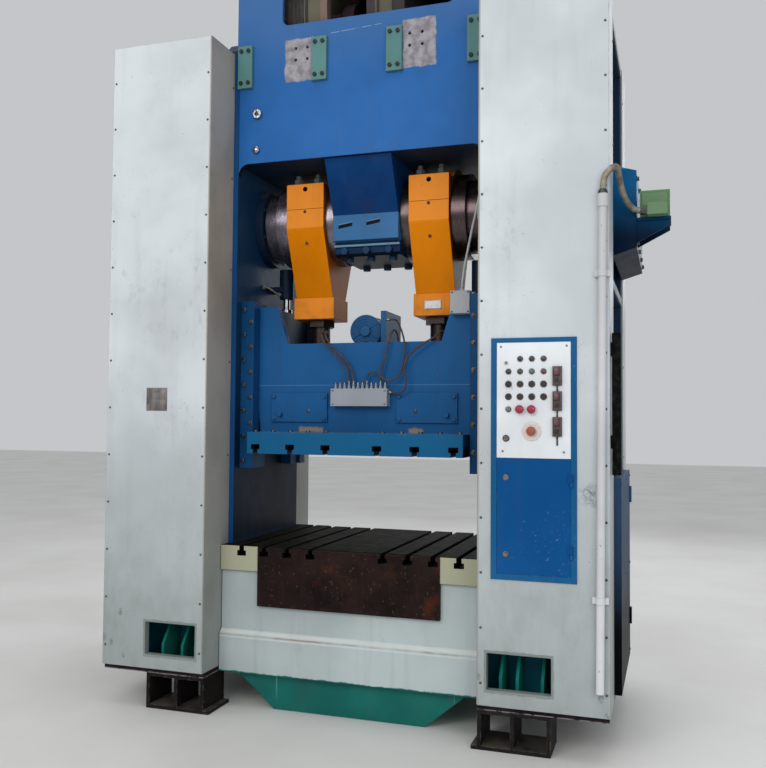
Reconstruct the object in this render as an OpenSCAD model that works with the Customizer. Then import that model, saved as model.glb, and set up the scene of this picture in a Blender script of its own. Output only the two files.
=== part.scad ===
// Two-point mechanical stamping press, straight-side frame.
// Millimetres. X runs across the press, Y from front to back, Z up.
// The origin is on the floor, under the centre of the press and of the crank axis.

/* [Frame] */
// Clear width between the uprights
throat_w = 1400; // [1380:10:1440]
// Depth of the frame from front to back
frame_depth = 870; // [860:10:940]
// Height of the frame's underside above the floor
ground_gap = 187; // [150:1:205]
// Height of the top of the uprights
upright_top = 3600; // [3580:10:3640]
// Width of one upright
upright_w = 640; // [600:10:700]
// Thickness of each upright's inner web
web_t = 35; // [25:1:40]
// Thickness of each upright's front and rear plates
flange_t = 30; // [20:1:45]

/* [Bed and bolster] */
// Height of the bed's top face
bed_top = 733; // [700:1:760]
// Depth of the bed from front to back
bed_depth = 1010; // [990:10:1040]
// Thickness of the bolster plate
bolster_t = 132; // [110:1:150]
// Distance that the bolster's end blocks stand out in front of the bed
bolster_lug = 20; // [10:1:40]
// Distance between the bolster's outer T-slots
bolster_slot_span = 1204; // [1100:2:1240]
// Width of a T-slot's neck
slot_neck_w = 28; // [22:1:32]
// Width of a T-slot's head
slot_head_w = 52; // [40:1:60]
// Height of a T-slot's head
slot_head_h = 28; // [20:1:36]
// Depth of a T-slot's neck
slot_neck_h = 24; // [18:1:30]

/* [Slide] */
// Stroke of the slide
stroke = 100; // [80:2:104]
// Height of the slide's lower face at top dead centre
slide_bottom = 1363; // [1330:1:1400]
// Thickness of the slide's T-slot plate
slide_plate_t = 119; // [100:1:140]
// Depth of the slide's T-slot plate from front to back
slide_plate_d = 940; // [900:10:960]
// Depth of the slide's body from front to back
slide_d = 590; // [560:10:620]
// Height of the top of the slide
slide_top = 2190; // [2150:10:2210]
// Distance between the slide's outer T-slots
slide_slot_span = 1114; // [1060:2:1130]

/* [Crank drive] */
// Height of the crank axis
crank_z = 2700; // [2690:1:2710]
// Distance between the two pitmans
pitman_span = 728; // [722:2:734]
// Width of a pitman's strap
pitman_w = 226; // [210:2:230]
// Radius of the crankshaft's eccentrics
eccentric_r = 175; // [168:1:180]
// Radius of the crankshaft's side journals
side_journal_r = 120; // [110:1:125]
// Radius of the crankshaft's centre journal
centre_journal_r = 110; // [100:1:118]
// Radius of the crankshaft's webs
crank_web_r = 240; // [235:1:245]
// Radial clearance of a running fit
run_gap = 0.05; // [0.02:0.01:0.09]
// Gear module of the crank gear train
crank_module = 12; // [12]
// Gear module of the drive shaft's gears
drive_module = 10; // [10]
// Radius of the flywheel
flywheel_r = 370; // [360:1:380]

/* [Crown] */
// Height of the crown's lower edge
crown_bottom = 2985; // [2980:1:3010]
// Free height above the flywheel, under the crown's roof
flywheel_head_gap = 31; // [20:1:120]
// Thickness of the crown's front and rear plates
crown_plate_t = 35; // [25:1:40]
// Width of the hanging centre bearing block
centre_block_w = 384; // [370:2:386]

/* [Covers and panel] */
// Width of one sheet cover
cover_w = 614; // [600:2:640]
// Height of a cover's top edge
cover_top = 3621; // [3610:1:3680]
// Height of a cover's bottom edge
cover_bottom = 212; // [206:1:240]
// Distance that a cover stands out from the frame
cover_depth = 270; // [250:5:320]
// Sheet thickness of the covers
sheet_t = 4; // [2:0.5:6]
// Pitch of the panel's push buttons across
button_pitch_x = 55; // [50:1:58]
// Pitch of the panel's push buttons up
button_pitch_z = 59.5; // [52:0.5:62]
// Travel of a push button
button_travel = 4; // [2:0.5:6]

/* [Hidden] */
$fn = 64;

// Colours read from the object.
WHITE = [0.80, 0.82, 0.83];
CREAM = [0.80, 0.77, 0.68];
CROWN_BLUE = [0.25, 0.44, 0.66];
DEEP_BLUE = [0.05, 0.20, 0.45];
SLIDE_BLUE = [0.14, 0.39, 0.60];
LIGHT_BLUE = [0.20, 0.48, 0.72];
DOOR_BLUE = [0.05, 0.32, 0.57];
ORANGE = [0.93, 0.52, 0.08];
DARK_STEEL = [0.16, 0.15, 0.16];
STEEL = [0.55, 0.56, 0.58];
BRASS = [0.72, 0.58, 0.30];
RUST = [0.22, 0.14, 0.12];
GREEN = [0.30, 0.60, 0.55];
BEIGE = [0.66, 0.66, 0.50];
BLACK = [0.05, 0.05, 0.06];
RED = [0.65, 0.10, 0.15];
GREY = [0.62, 0.62, 0.62];

eps = 1;
half_throat = throat_w / 2;
half_depth = frame_depth / 2;
upright_x1 = half_throat + upright_w;

// Covers start just outside the throat and stand in front of the frame.
cover_x0 = half_throat + 31;
cover_x1 = cover_x0 + cover_w;
cover_front = -half_depth - cover_depth;

// Upright pockets, open to the side of the press.
base_plate_y = half_depth + cover_depth - 15;
pocket_y = half_depth - flange_t;
web_x = half_throat + web_t;
lower_pocket = [262, 2220];
upper_pocket = [2262, upright_top - 40];

// Bed
half_bed = bed_depth / 2;
bed_front = -half_bed;
bed_ear_x = cover_x0 - 4;
ridge_z = 400;
ridge_out = 25;
belly_top_w = 1290;
belly_bottom_w = 836;
belly_half_y = 480;

// Bolster
bolster_top = bed_top + bolster_t;
lug_x0 = 505;
bolster_slots = [for (k = [-9, -7, -5, -3, 3, 5, 7, 9]) k / 9 * bolster_slot_span / 2];
front_plate_t = 24;
front_plate_bottom = 549;
front_plate_bolt_r = 13;

// Slide
half_plate_d = slide_plate_d / 2;
half_slide_d = slide_d / 2;
slide_gap = 0.3;
slide_plate_top = slide_bottom + slide_plate_t;
slide_plate_x = half_throat - 93;
slide_x = half_throat - 65;
slide_foot_x = slide_plate_x + 3;
slide_shoulder_z = slide_plate_top + 235;
slide_deck = slide_top - 230;
slide_wall_t = 40;
slide_guide_x = slide_x - 75;
cut_out_z = slide_top - 212;
cut_out_bottom_x = slide_x - 187;
cut_out_top_x = slide_x - 123;
slide_slots = [for (k = [-1, -0.63, -0.26, 0.26, 0.63, 1]) k * slide_slot_span / 2];

// Gibs
gib_x0 = half_throat - 79;
gib_z = [slide_bottom - stroke + 15, slide_top + 26];
gib_front = half_slide_d + 79;
gib_lip = 110;

// Crank and its bearings
eccentricity = stroke / 2;
eccentric_z = crank_z + eccentricity;
pitman_x = pitman_span / 2;
strap_gap = 3;
web_in_x = [centre_block_w / 2 + 3, pitman_x - pitman_w / 2 - strap_gap];
web_out_x = [pitman_x + pitman_w / 2 + strap_gap, half_throat - 140];
collar_x1 = half_throat - 60;
collar_r = 205;
bush_t = 25;
flange_x0 = half_throat - 50;
flange_r = 230;
centre_half_y = 263;
block_top_y = half_depth - 30;
cap_step_z = crank_z - 144;
cap_bottom_z = crank_z - 228;
cap_lower_y = 225;
cap_chamfer = 15;
cap_ledge_z = crank_z - 176;
cap_bolt_z = crank_z - 200;
cap_bolt_r = 22;
crank_left_x = -half_throat - 200;
crank_right_x = upright_x1 + 60;
crank_end_r = 60;

// Pitman
strap_half_y = 265;
knee_z = crank_z - 57;
foot_top_z = crank_z - 438;
foot_bottom_z = crank_z - 562;
foot_half_y = 115;
foot_w = pitman_w + 22;
neck_half_y = 105;
cap_shoulder_z = eccentric_z + 145;
dome_r = eccentric_r + 45;
stud_y = 218;
ball_r = 70;
ball_z = foot_bottom_z - 233;
screw_r = 55;
screw_neck_r = 42;
lock_nut_r = 84;
lock_nut_h = 42;
swing_gap = 8;
ball_pocket = [ball_r + 20, ball_r + eccentricity + swing_gap, ball_z - ball_r - stroke - swing_gap];

// Gear train: crank gear, idler and pinion, then a second pair inside the crown.
gear_side_gap = 3;
main_teeth = floor((frame_depth - 2 * flange_t - 2 * gear_side_gap) / crank_module) - 2;
idler_teeth = 32;
pinion_teeth = 15;
second_teeth = 40;
drive_teeth = 20;
idler_z = crank_z + crank_module * (main_teeth + idler_teeth) / 2;
inter_z = idler_z + crank_module * (idler_teeth + pinion_teeth) / 2;
drive_z = inter_z + drive_module * (second_teeth + drive_teeth) / 2;
gear_x = -half_throat - 160;
gear_w = 100;
second_gear_x = -half_throat + 72;
second_gear_w = 80;
inter_r = 60;
idler_pin_r = 45;
tooth_gap = 0.45;
shaft_r = 70;

// Crown
crown_x = half_throat;
crown_cap_x = half_throat + 15;
crown_side_t = 60;
crown_room_z = inter_z - drive_module * (second_teeth / 2 + 1) - 30;
crown_roof_t = 35;
crown_top = drive_z + flywheel_r + flywheel_head_gap + crown_roof_t;
window_x = [-440, 545];
window_z = [3748, 4080];
window_r = 40;
rib_x = second_gear_x + second_gear_w + 15;
rib_t = 35;
corner_r = 60;
housing_x0 = gear_x - 40;
housing_wall = 20;
housing_half_y = 225;
housing_top = inter_z + 236;

// Flywheel, belts and motor
flywheel_x = -470;
flywheel_w = 270;
belt_count = 6;
belt_pitch = 25;
belt_w = 16;
belt_t = 12;
belt_gap = 0.3;
belt_arc_steps = 48;
groove_side = 1;
belt_x0 = flywheel_x + 12;
clutch_x = 20;
clutch_w = 220;
clutch_r = 335;
motor_y = half_depth + 330;
pulley_r = 90;
motor_r = 170;
motor_shaft_r = 30;
motor_x0 = belt_x0 + belt_count * belt_pitch + 40;
motor_len = 540;
motor_foot_h = 225;
shelf_t = 30;
belt_slot_margin = 22;

// Control cabinet
frame_x = [cover_x0 + 67, cover_x0 + 467];
frame_z = [808, 1946];
frame_lip = 27;
frame_t = 6;
cabinet_wall = 4;
cabinet_depth = 180;
cabinet_in = 12;
panel_split_z = 1379;
panel_seam = 0.5;
panel_front = cover_front - frame_t + 1;
panel_t = 6;
plate_x = [frame_x[0] + frame_lip + panel_seam, frame_x[1] - frame_lip - panel_seam];
plate_z = [panel_split_z + panel_seam, frame_z[1] - frame_lip + 5 - panel_seam];
door_z = [frame_z[0] + frame_lip + panel_seam, panel_split_z - panel_seam];
button_x0 = frame_x[0] + 83;
button_z0 = 1846;
hole_r = 11;
stem_r = hole_r - 0.1;
ring_t = 4;
ring_r = 15;
mushroom_travel = 6;
mushroom_r = 20;
legend_r = 45;
e_stop_pos = [button_x0 + 2 * button_pitch_x - 1, 1506];
key_pos = [button_x0 - 11, 1471];
lamp_pos = [button_x0 - 11, 1828];
lock_x = frame_x[0] + 71;
lock_z = [928, 1287];
lock_r = 14;
hinge_x = plate_x[1] + 3;
hinge_y = panel_front - 8;
hinge_r = 6;
hinge_pin_r = 3;
hinge_z = [940, 1270];

// Push buttons, column and row from the upper left button's place.
BUTTONS = [[1, 2], [2, 2], [3, 2], [0, 3], [1, 3], [2, 3], [3, 3]];
MUSHROOMS = [[1, 4], [2, 4]];
SELECTOR = [0, 2];
LAMPS = [[1, 0], [2, 0], [3, 0], [0, 1], [1, 1], [2, 1], [3, 1], [0, 4]];

// Side equipment
pipe_r = 18.5;
pipe_top = [cover_x1 - 27, 2600];
pipe_foot = [cover_x1 - 44, 328];
pipe_collar = 5;
pipe_y = cover_front - pipe_r - pipe_collar - slide_gap;
clamp_z = [400, 1890];
hose_r = 15;
housing_z = [2370, 2820];
crank_housing_w = 115;
crank_housing_y = half_depth - 30;
switch_box_x = [1470, 1610];
switch_box_y = [-half_depth + 30, -half_depth + 190];
switch_box_z = [2550, 2682];

// Balance cylinders
balance_x = half_throat - 110;
balance_r = 43;
balance_z = [slide_top + 85, slide_top + 260];
balance_bore_r = 34;
balance_rod_r = 20;
piston_h = 30;

function inv(a) = tan(a) * 180 / PI - a;
// Half angle of an involute tooth at radius r, for n teeth of module m.
function half_tooth(n, m, r) = 90 / n + inv(20) - inv(acos(min(1, n * m / 2 * cos(20) / r)))
    - tooth_gap / (n * m) * 180 / PI;
function polar(r, a) = [r * cos(a), r * sin(a)];
// Outline of a spur gear whose tooth number 0 stands at angle a0.
function gear_points(n, m, a0) = [
    for (k = [0:n - 1])
        let (r = n * m / 2, a = a0 + k * 360 / n)
            each [
                polar(r - 1.25 * m, a - half_tooth(n, m, max(r - 1.25 * m, 1))),
                polar(r, a - half_tooth(n, m, r)),
                polar(r + m, a - half_tooth(n, m, r + m)),
                polar(r + m, a + half_tooth(n, m, r + m)),
                polar(r, a + half_tooth(n, m, r)),
                polar(r - 1.25 * m, a + half_tooth(n, m, max(r - 1.25 * m, 1)))
            ]
];
// Place of tooth 0 on an upper gear of n2 teeth that meshes with a lower one of n1 teeth.
function mesh_angle(n1, a1, n2) =
    let (f = (90 - a1) * n1 / 360, part = f - floor(f)) -90 + (part + 0.5) * 360 / n2;
main_a0 = 90;
idler_a0 = mesh_angle(main_teeth, main_a0, idler_teeth);
pinion_a0 = mesh_angle(idler_teeth, idler_a0, pinion_teeth);
second_a0 = 90;
drive_a0 = mesh_angle(second_teeth, second_a0, drive_teeth);

module block(x, y, z) {
    translate([x[0], y[0], z[0]]) cube([x[1] - x[0], y[1] - y[0], z[1] - z[0]]);
}
// A profile drawn in Y and Z, extruded from x0 to x1.
module along_x(x0, x1) {
    translate([x0, 0, 0]) rotate([90, 0, 90]) linear_extrude(x1 - x0) children();
}
// A profile drawn in X and Z, extruded from y0 to y1.
module along_y(y0, y1) {
    translate([0, y1, 0]) rotate([90, 0, 0]) linear_extrude(y1 - y0) children();
}
module rod_x(x0, x1, y, z, r) {
    translate([x0, y, z]) rotate([0, 90, 0]) cylinder(h = x1 - x0, r = r);
}
module rod_y(y0, y1, x, z, r) {
    translate([x, y0, z]) rotate([-90, 0, 0]) cylinder(h = y1 - y0, r = r);
}
module rod_z(z0, z1, x, y, r) {
    translate([x, y, z0]) cylinder(h = z1 - z0, r = r);
}
module hex_z(z0, z1, x, y, r) {
    translate([x, y, z0]) cylinder(h = z1 - z0, r = r, $fn = 6);
}
module hex_y(y0, y1, x, z, r) {
    translate([x, y0, z]) rotate([-90, 0, 0]) cylinder(h = y1 - y0, r = r, $fn = 6);
}
module both_sides() {
    children();
    mirror([1, 0, 0]) children();
}
module front_and_back() {
    children();
    mirror([0, 1, 0]) children();
}
module rounded_rect(x, z, r) {
    translate([x[0] + r, z[0]]) square([x[1] - x[0] - 2 * r, z[1] - z[0]]);
    translate([x[0], z[0] + r]) square([x[1] - x[0], z[1] - z[0] - 2 * r]);
    for (cx = [x[0] + r, x[1] - r])
        for (cz = [z[0] + r, z[1] - r])
            translate([cx, cz]) circle(r);
}

// Bed: welded box with a proud lower band, ears that reach the covers, and a sloped belly.
module bed() {
    color(WHITE) {
        difference() {
            along_x(-bed_ear_x, bed_ear_x) bed_profile();
            both_sides()
                block([half_throat, bed_ear_x + eps], [-half_depth, half_depth], [0, bed_top + eps]);
        }
    }
    color(GREEN) along_y(-belly_half_y, belly_half_y)
        polygon([[-belly_top_w / 2, ground_gap], [-belly_bottom_w / 2, 0],
                 [belly_bottom_w / 2, 0], [belly_top_w / 2, ground_gap]]);
}
module bed_profile() {
    polygon([[-half_bed, bed_top], [-half_bed, ridge_z + 15], [-half_bed - ridge_out, ridge_z - 10],
             [-half_bed - ridge_out, ground_gap], [half_bed + ridge_out, ground_gap],
             [half_bed + ridge_out, ridge_z - 10], [half_bed, ridge_z + 15], [half_bed, bed_top]]);
}

// T-slot that opens upward at z = 0, drawn in X and Z.
module t_slot() {
    translate([-slot_neck_w / 2, -slot_neck_h - eps]) square([slot_neck_w, slot_neck_h + 2 * eps]);
    translate([-slot_head_w / 2, -slot_neck_h - slot_head_h]) square([slot_head_w, slot_head_h]);
}

// Bolster plate with end blocks at its front and rear edges and eight T-slots.
module bolster_plate() {
    color(DARK_STEEL) difference() {
        union() {
            block([-half_throat, half_throat], [-half_bed, half_bed], [bed_top, bolster_top]);
            front_and_back() both_sides()
                block([lug_x0, bed_ear_x], [-half_bed - bolster_lug, -half_depth], [bed_top, bolster_top]);
        }
        for (x = bolster_slots)
            along_y(-half_bed - bolster_lug - eps, half_bed + bolster_lug + eps)
                translate([x, bolster_top]) t_slot();
    }
}

// Thick front plate bolted to the bed and bolster, with the T-slots cut through its top edge.
module bed_front_plate() {
    y0 = bed_front - front_plate_t;
    color(RUST) {
        difference() {
            block([-lug_x0 + panel_seam, lug_x0 - panel_seam], [y0, bed_front],
                  [front_plate_bottom, bolster_top - 3]);
            for (x = bolster_slots)
                along_y(y0 - eps, bed_front + eps) translate([x, bolster_top]) t_slot();
        }
        for (x = [-lug_x0 + 30, lug_x0 - 30])
            for (z = [front_plate_bottom + 35:125:bolster_top - 120])
                hex_y(y0 - 8, y0, x, z, front_plate_bolt_r);
    }
}

// One upright: inner web, front and rear plates, diaphragms and a base plate under the covers.
module upright_shell() {
    difference() {
        union() {
            block([half_throat, upright_x1], [-half_depth, half_depth], [ground_gap, upright_top]);
            block([cover_x0, upright_x1], [-base_plate_y, base_plate_y], [ground_gap, cover_bottom]);
            front_and_back() for (x = [cover_x0 + 89, cover_x0 + 169, cover_x0 + 289])
                base_gusset(x);
        }
        for (z = [lower_pocket, upper_pocket])
            block([web_x, upright_x1 + eps], [-pocket_y, pocket_y], z);
        rod_x(half_throat - eps, web_x + eps, 0, crank_z, side_journal_r + bush_t);
    }
}
module base_gusset(x) {
    along_x(x, x + 16) polygon([[-half_depth, cover_bottom], [-half_depth, cover_bottom + 260],
                                [-half_depth - 60, cover_bottom + 260], [-half_depth - 175, cover_bottom + 110],
                                [-half_depth - 175, cover_bottom]]);
}
// The left upright also holds the idler's pin, the pinion's housing and the outer bearing of its shaft.
module left_upright() {
    color(CROWN_BLUE) {
        difference() {
            union() {
                mirror([1, 0, 0]) upright_shell();
                along_x(housing_x0, -crown_cap_x) housing_profile(housing_half_y, housing_top);
                block([housing_x0, housing_x0 + housing_wall], [-inter_r - 30, inter_r + 30],
                      [inter_z - inter_r - 30, upper_pocket[1] + eps]);
            }
            block([housing_x0 + housing_wall, -web_x], [-pinion_room, pinion_room],
                  [upper_pocket[1] - eps, housing_top - 60]);
            rod_x(housing_x0 + 6, housing_x0 + housing_wall + eps, 0, inter_z, inter_r + run_gap);
            rod_x(-web_x - eps, -half_throat + eps, 0, inter_z, inter_r + 20);
        }
        rod_x(gear_x - 30, -web_x + eps, 0, idler_z, idler_pin_r);
        rod_x(gear_x + gear_w + 2, -web_x + eps, 0, idler_z, idler_pin_r + 30);
    }
}
pinion_room = crank_module * (pinion_teeth / 2 + 1) + 30;
module housing_profile(y, top) {
    polygon([[-y, upright_top], [-y, top - 60], [-y + 60, top],
             [y - 60, top], [y, top - 60], [y, upright_top]]);
}
module right_upright() {
    color(CROWN_BLUE) upright_shell();
}

// Steel stands under the base plates, open H-sections.
module machine_feet() {
    color(DARK_STEEL) both_sides() front_and_back() machine_foot();
}
module machine_foot() {
    x = [half_throat, half_throat + 375];
    y = [-base_plate_y, -base_plate_y + 230];
    t = 18;
    block(x, y, [0, t]);
    block([max(x[0], cover_x0), x[1]], y, [ground_gap - t, ground_gap]);
    for (x0 = [cover_x0, (x[0] + x[1]) / 2, x[1] - t])
        block([x0, x0 + t], y, [t, ground_gap - t]);
}

// Four gib rails on the uprights' inner faces, one at each corner of the slide.
module gib_rails() {
    color(LIGHT_BLUE) both_sides() front_and_back() gib_rail();
}
module gib_rail() {
    y_face = -half_slide_d - slide_gap;
    block([gib_x0, half_throat], [-gib_front, y_face], gib_z);
    block([slide_x + slide_gap, half_throat], [y_face - eps, y_face + gib_lip], gib_z);
}

// Crown: box between the uprights with windows, a bearing block and shafts' bearings inside.
module crown() {
    color(CROWN_BLUE) difference() {
        union() {
            block([-crown_x, crown_x], [-half_depth, half_depth], [crown_bottom, crown_top]);
            block([-crown_cap_x, crown_cap_x], [-half_depth, half_depth], [upright_top, crown_top]);
            both_sides() front_and_back() pocket_corner();
            rod_y(-half_depth - 10, -half_depth + eps, -585, 3262, 28);
            rod_y(-half_depth - 12, -half_depth + eps, -589, 3059, 20);
            motor_shelf();
        }
        crown_room();
        along_y(-half_depth - eps, -half_depth + crown_plate_t + eps)
            rounded_rect(window_x, window_z, window_r);
        along_y(half_depth - crown_plate_t - eps, half_depth + eps)
            rounded_rect([belt_x0 - belt_slot_margin, belt_x0 + belt_count * belt_pitch + belt_slot_margin],
                         [drive_z - flywheel_r - 8, drive_z + flywheel_r + 8], window_r);
        rod_x(-crown_cap_x - eps, rib_x + rib_t + eps, 0, inter_z, inter_r + run_gap);
        rod_x(-crown_x + 20, crown_x - 20, 0, drive_z, shaft_r + run_gap);
        for (x = tapped_x)
            for (dx = [-1, 1] * tapped_dx / 2)
                for (dz = [-1, 1] * tapped_dz / 2)
                    rod_y(-half_depth - eps, -half_depth + 32, x + dx, tapped_z + dz, tapped_r);
    }
    color(DEEP_BLUE) difference() {
        along_x(-centre_block_w / 2, centre_block_w / 2)
            polygon([[-block_top_y, crown_bottom], [-centre_half_y, crank_z], [centre_half_y, crank_z],
                     [block_top_y, crown_bottom]]);
        rod_x(-centre_block_w / 2 - eps, centre_block_w / 2 + eps, 0, crank_z, centre_journal_r + bush_t);
    }
}
tapped_x = [-323, 335];
tapped_z = 3578;
tapped_dx = 69;
tapped_dz = 65;
tapped_r = 8.5;
module crown_room() {
    room_z = [crown_room_z, crown_top - crown_roof_t];
    y = half_depth - crown_plate_t;
    block([-crown_x + crown_side_t, rib_x], [-y, y], room_z);
    block([rib_x + rib_t, crown_x - crown_side_t], [-y, y], room_z);
}
// Rounded upper corner of the opening beside each upright.
module pocket_corner() {
    difference() {
        block([crown_x - corner_r, crown_x], [-half_depth, -half_depth + crown_plate_t],
              [crown_bottom - corner_r, crown_bottom + eps]);
        rod_y(-half_depth - eps, -half_depth + crown_plate_t + eps, crown_x - corner_r,
              crown_bottom - corner_r, corner_r);
    }
}
// Bracket at the crown's back that carries the main motor.
module motor_shelf() {
    top = drive_z - motor_foot_h;
    x = [motor_x0 + 20, motor_x0 + motor_len - 20];
    y1 = motor_y + 180;
    block(x, [half_depth - eps, y1], [top - shelf_t, top]);
    for (x0 = [x[0] + 40, x[1] - 65])
        along_x(x0, x0 + 25) polygon([[half_depth - eps, top - shelf_t + eps], [y1 - 20, top - shelf_t + eps],
                                      [y1 - 20, top - shelf_t - 60], [half_depth - eps, top - shelf_t - 330]]);
}

// Green bracket plates along the crown's front, four bolts each.
bracket_w = 88;
bracket_t = 20;
bracket_z = [3413, 3655];
bracket_x = [-660, -212, 218.5, 660];
module crown_brackets() {
    y = -half_depth;
    for (x = bracket_x) {
        color(GREEN) block([x - bracket_w / 2, x + bracket_w / 2], [y - bracket_t, y], bracket_z);
        color(STEEL) for (dx = [-1, 1] * bracket_w / 4)
            for (z = [bracket_z[0] + 30, bracket_z[1] - 30])
                hex_y(y - bracket_t - 9, y - bracket_t, x + dx, z, 12);
    }
}

// Lower half of the centre main bearing, with its bolts.
module centre_bearing_cap() {
    color(LIGHT_BLUE) difference() {
        along_x(-centre_block_w / 2, centre_block_w / 2)
            polygon([[-centre_half_y, crank_z], [-centre_half_y, cap_step_z], [-cap_lower_y, cap_step_z],
                     [-cap_lower_y, cap_ledge_z + 12], [-cap_lower_y - 14, cap_ledge_z + 12],
                     [-cap_lower_y - 14, cap_ledge_z], [-cap_lower_y, cap_ledge_z],
                     [-cap_lower_y, cap_bottom_z + cap_chamfer], [-cap_lower_y + cap_chamfer, cap_bottom_z],
                     [cap_lower_y - cap_chamfer, cap_bottom_z], [cap_lower_y, cap_bottom_z + cap_chamfer],
                     [cap_lower_y, cap_step_z], [centre_half_y, cap_step_z], [centre_half_y, crank_z]]);
        rod_x(-centre_block_w / 2 - eps, centre_block_w / 2 + eps, 0, crank_z, centre_journal_r + bush_t);
    }
    color(STEEL) {
        for (x = [-1, 0, 1] * 130) {
            hex_y(-cap_lower_y - 24, -cap_lower_y, x, cap_bolt_z, cap_bolt_r);
            front_and_back() hex_z(cap_bottom_z - cap_bolt_r, cap_bottom_z, x, -cap_lower_y + 75, 24);
        }
    }
}

// Flanged side bearing housings on the uprights' inner faces.
module bearing_flanges() {
    color(LIGHT_BLUE) both_sides() difference() {
        union() {
            rod_x(flange_x0, half_throat, 0, crank_z, flange_r);
            for (a = [0:45:315])
                rod_x(flange_x0 - 6, flange_x0 + eps, (flange_r - 22) * cos(a + 22.5),
                      crank_z + (flange_r - 22) * sin(a + 22.5), 11);
        }
        rod_x(flange_x0 - 10, half_throat + eps, 0, crank_z, side_journal_r + bush_t);
    }
}

// Bronze bushes: one in each side housing, one split across the centre bearing.
module crank_bushes() {
    color(BRASS) {
        both_sides() bush(flange_x0 + 2, web_x, side_journal_r);
        bush(-centre_block_w / 2 + 2, centre_block_w / 2 - 2, centre_journal_r);
    }
}
module bush(x0, x1, r) {
    difference() {
        rod_x(x0, x1, 0, crank_z, r + bush_t);
        rod_x(x0 - eps, x1 + eps, 0, crank_z, r + run_gap);
    }
}

// Sheet metal cover of an upright, open toward the frame, drawn for the right-hand side.
module cover_shell() {
    difference() {
        block([cover_x0, cover_x1], [cover_front, -half_depth], [cover_bottom, cover_top]);
        block([cover_x0 + sheet_t, cover_x1 - sheet_t], [cover_front + sheet_t, -half_depth + eps],
              [cover_bottom - eps, cover_top - sheet_t]);
        along_y(cover_front - eps, cover_front + sheet_t + eps) rounded_rect(cover_window_x, cover_window_z, 6);
    }
    cover_window_rim();
}
cover_window_x = [cover_x0 + 47, cover_x0 + 349];
cover_window_z = [cover_bottom + 75, cover_bottom + 247];
// Turned-in edge round the window near the floor.
module cover_window_rim() {
    rim = 6;
    depth = 40;
    difference() {
        block([cover_window_x[0] - rim, cover_window_x[1] + rim], [cover_front + sheet_t, cover_front + depth],
              [cover_window_z[0] - rim, cover_window_z[1] + rim]);
        block(cover_window_x, [cover_front, cover_front + depth + eps], cover_window_z);
    }
}
module left_front_cover() {
    color(WHITE) mirror([1, 0, 0]) cover_shell();
}
module right_front_cover() {
    color(WHITE) difference() {
        cover_shell();
        block([frame_x[0] + cabinet_in - eps, frame_x[1] - cabinet_in + eps],
              [cover_front - eps, cover_front + sheet_t + eps],
              [frame_z[0] + cabinet_in - eps, frame_z[1] - cabinet_in + eps]);
    }
}
module rear_covers() {
    color(WHITE) both_sides() mirror([0, 1, 0]) cover_shell();
}

// Flat panels that close the uprights' lower side openings.
side_panel_z = [cover_bottom + 28, cover_bottom + 1068];
module side_panels() {
    color(DOOR_BLUE) both_sides() {
        block([upright_x1, upright_x1 + 40], [-half_depth + 15, half_depth - 15], side_panel_z);
        for (z = [side_panel_z[0] + 180, side_panel_z[1] - 180])
            block([upright_x1 + 40, upright_x1 + 52], [half_depth - 75, half_depth - 45], [z, z + 90]);
    }
}

// Panel cabinet: blue front frame with a shallow box behind it and two hinge lugs.
module control_cabinet() {
    in_x = [frame_x[0] + cabinet_in, frame_x[1] - cabinet_in];
    in_z = [frame_z[0] + cabinet_in, frame_z[1] - cabinet_in];
    w = cabinet_wall;
    color(DOOR_BLUE) {
        difference() {
            union() {
                block(frame_x, [cover_front - frame_t, cover_front], frame_z);
                block(in_x, [cover_front - eps, cover_front + cabinet_depth], in_z);
            }
            block([in_x[0] + w, in_x[1] - w], [cover_front, cover_front + cabinet_depth - w],
                  [in_z[0] + w, in_z[1] - w]);
            block([plate_x[0] - panel_seam, plate_x[1] + panel_seam],
                  [cover_front - frame_t - eps, cover_front + eps],
                  [door_z[0] - panel_seam, plate_z[1] + panel_seam]);
        }
        block([in_x[0] + w - eps, in_x[1] - w + eps], [panel_front + panel_t, panel_front + panel_t + 4],
              [panel_split_z - 6, panel_split_z + 6]);
        for (z = hinge_z) hinge_lug(z);
    }
}
// Fixed hinge lug with its pin, below each barrel of the door.
module hinge_lug(z) {
    rod_z(z - 20, z, hinge_x, hinge_y, hinge_r);
    block([hinge_x - 3, hinge_x + 8], [hinge_y, cover_front - frame_t + eps], [z - 20, z]);
    rod_z(z - eps, z + 36, hinge_x, hinge_y, hinge_pin_r);
}

// White operator plate with the holes, bezel rings and the emergency stop's round legend.
module panel_plate() {
    y = [panel_front, panel_front + panel_t];
    holes = concat([for (b = BUTTONS) button_at(b)], [for (b = MUSHROOMS) button_at(b)],
                   [button_at(SELECTOR), e_stop_pos, key_pos]);
    color(WHITE) difference() {
        union() {
            block(plate_x, y, plate_z);
            for (p = holes)
                rod_y(y[0] - ring_t, y[0] + eps, p[0], p[1], ring_r);
            rod_y(y[0] - ring_t, y[0] + eps, e_stop_pos[0], e_stop_pos[1], legend_r);
        }
        for (p = holes)
            rod_y(y[0] - ring_t - eps, y[1] + eps, p[0], p[1], hole_r);
    }
    color(GREY) for (p = [[plate_x[0] + 29, plate_z[0] + 31.5], [plate_x[1] - 31, plate_z[0] + 30.5]])
        rod_y(y[0] - 3, y[0], p[0], p[1], 5);
}
function button_at(b) = [button_x0 + b[0] * button_pitch_x, button_z0 - b[1] * button_pitch_z];

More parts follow.
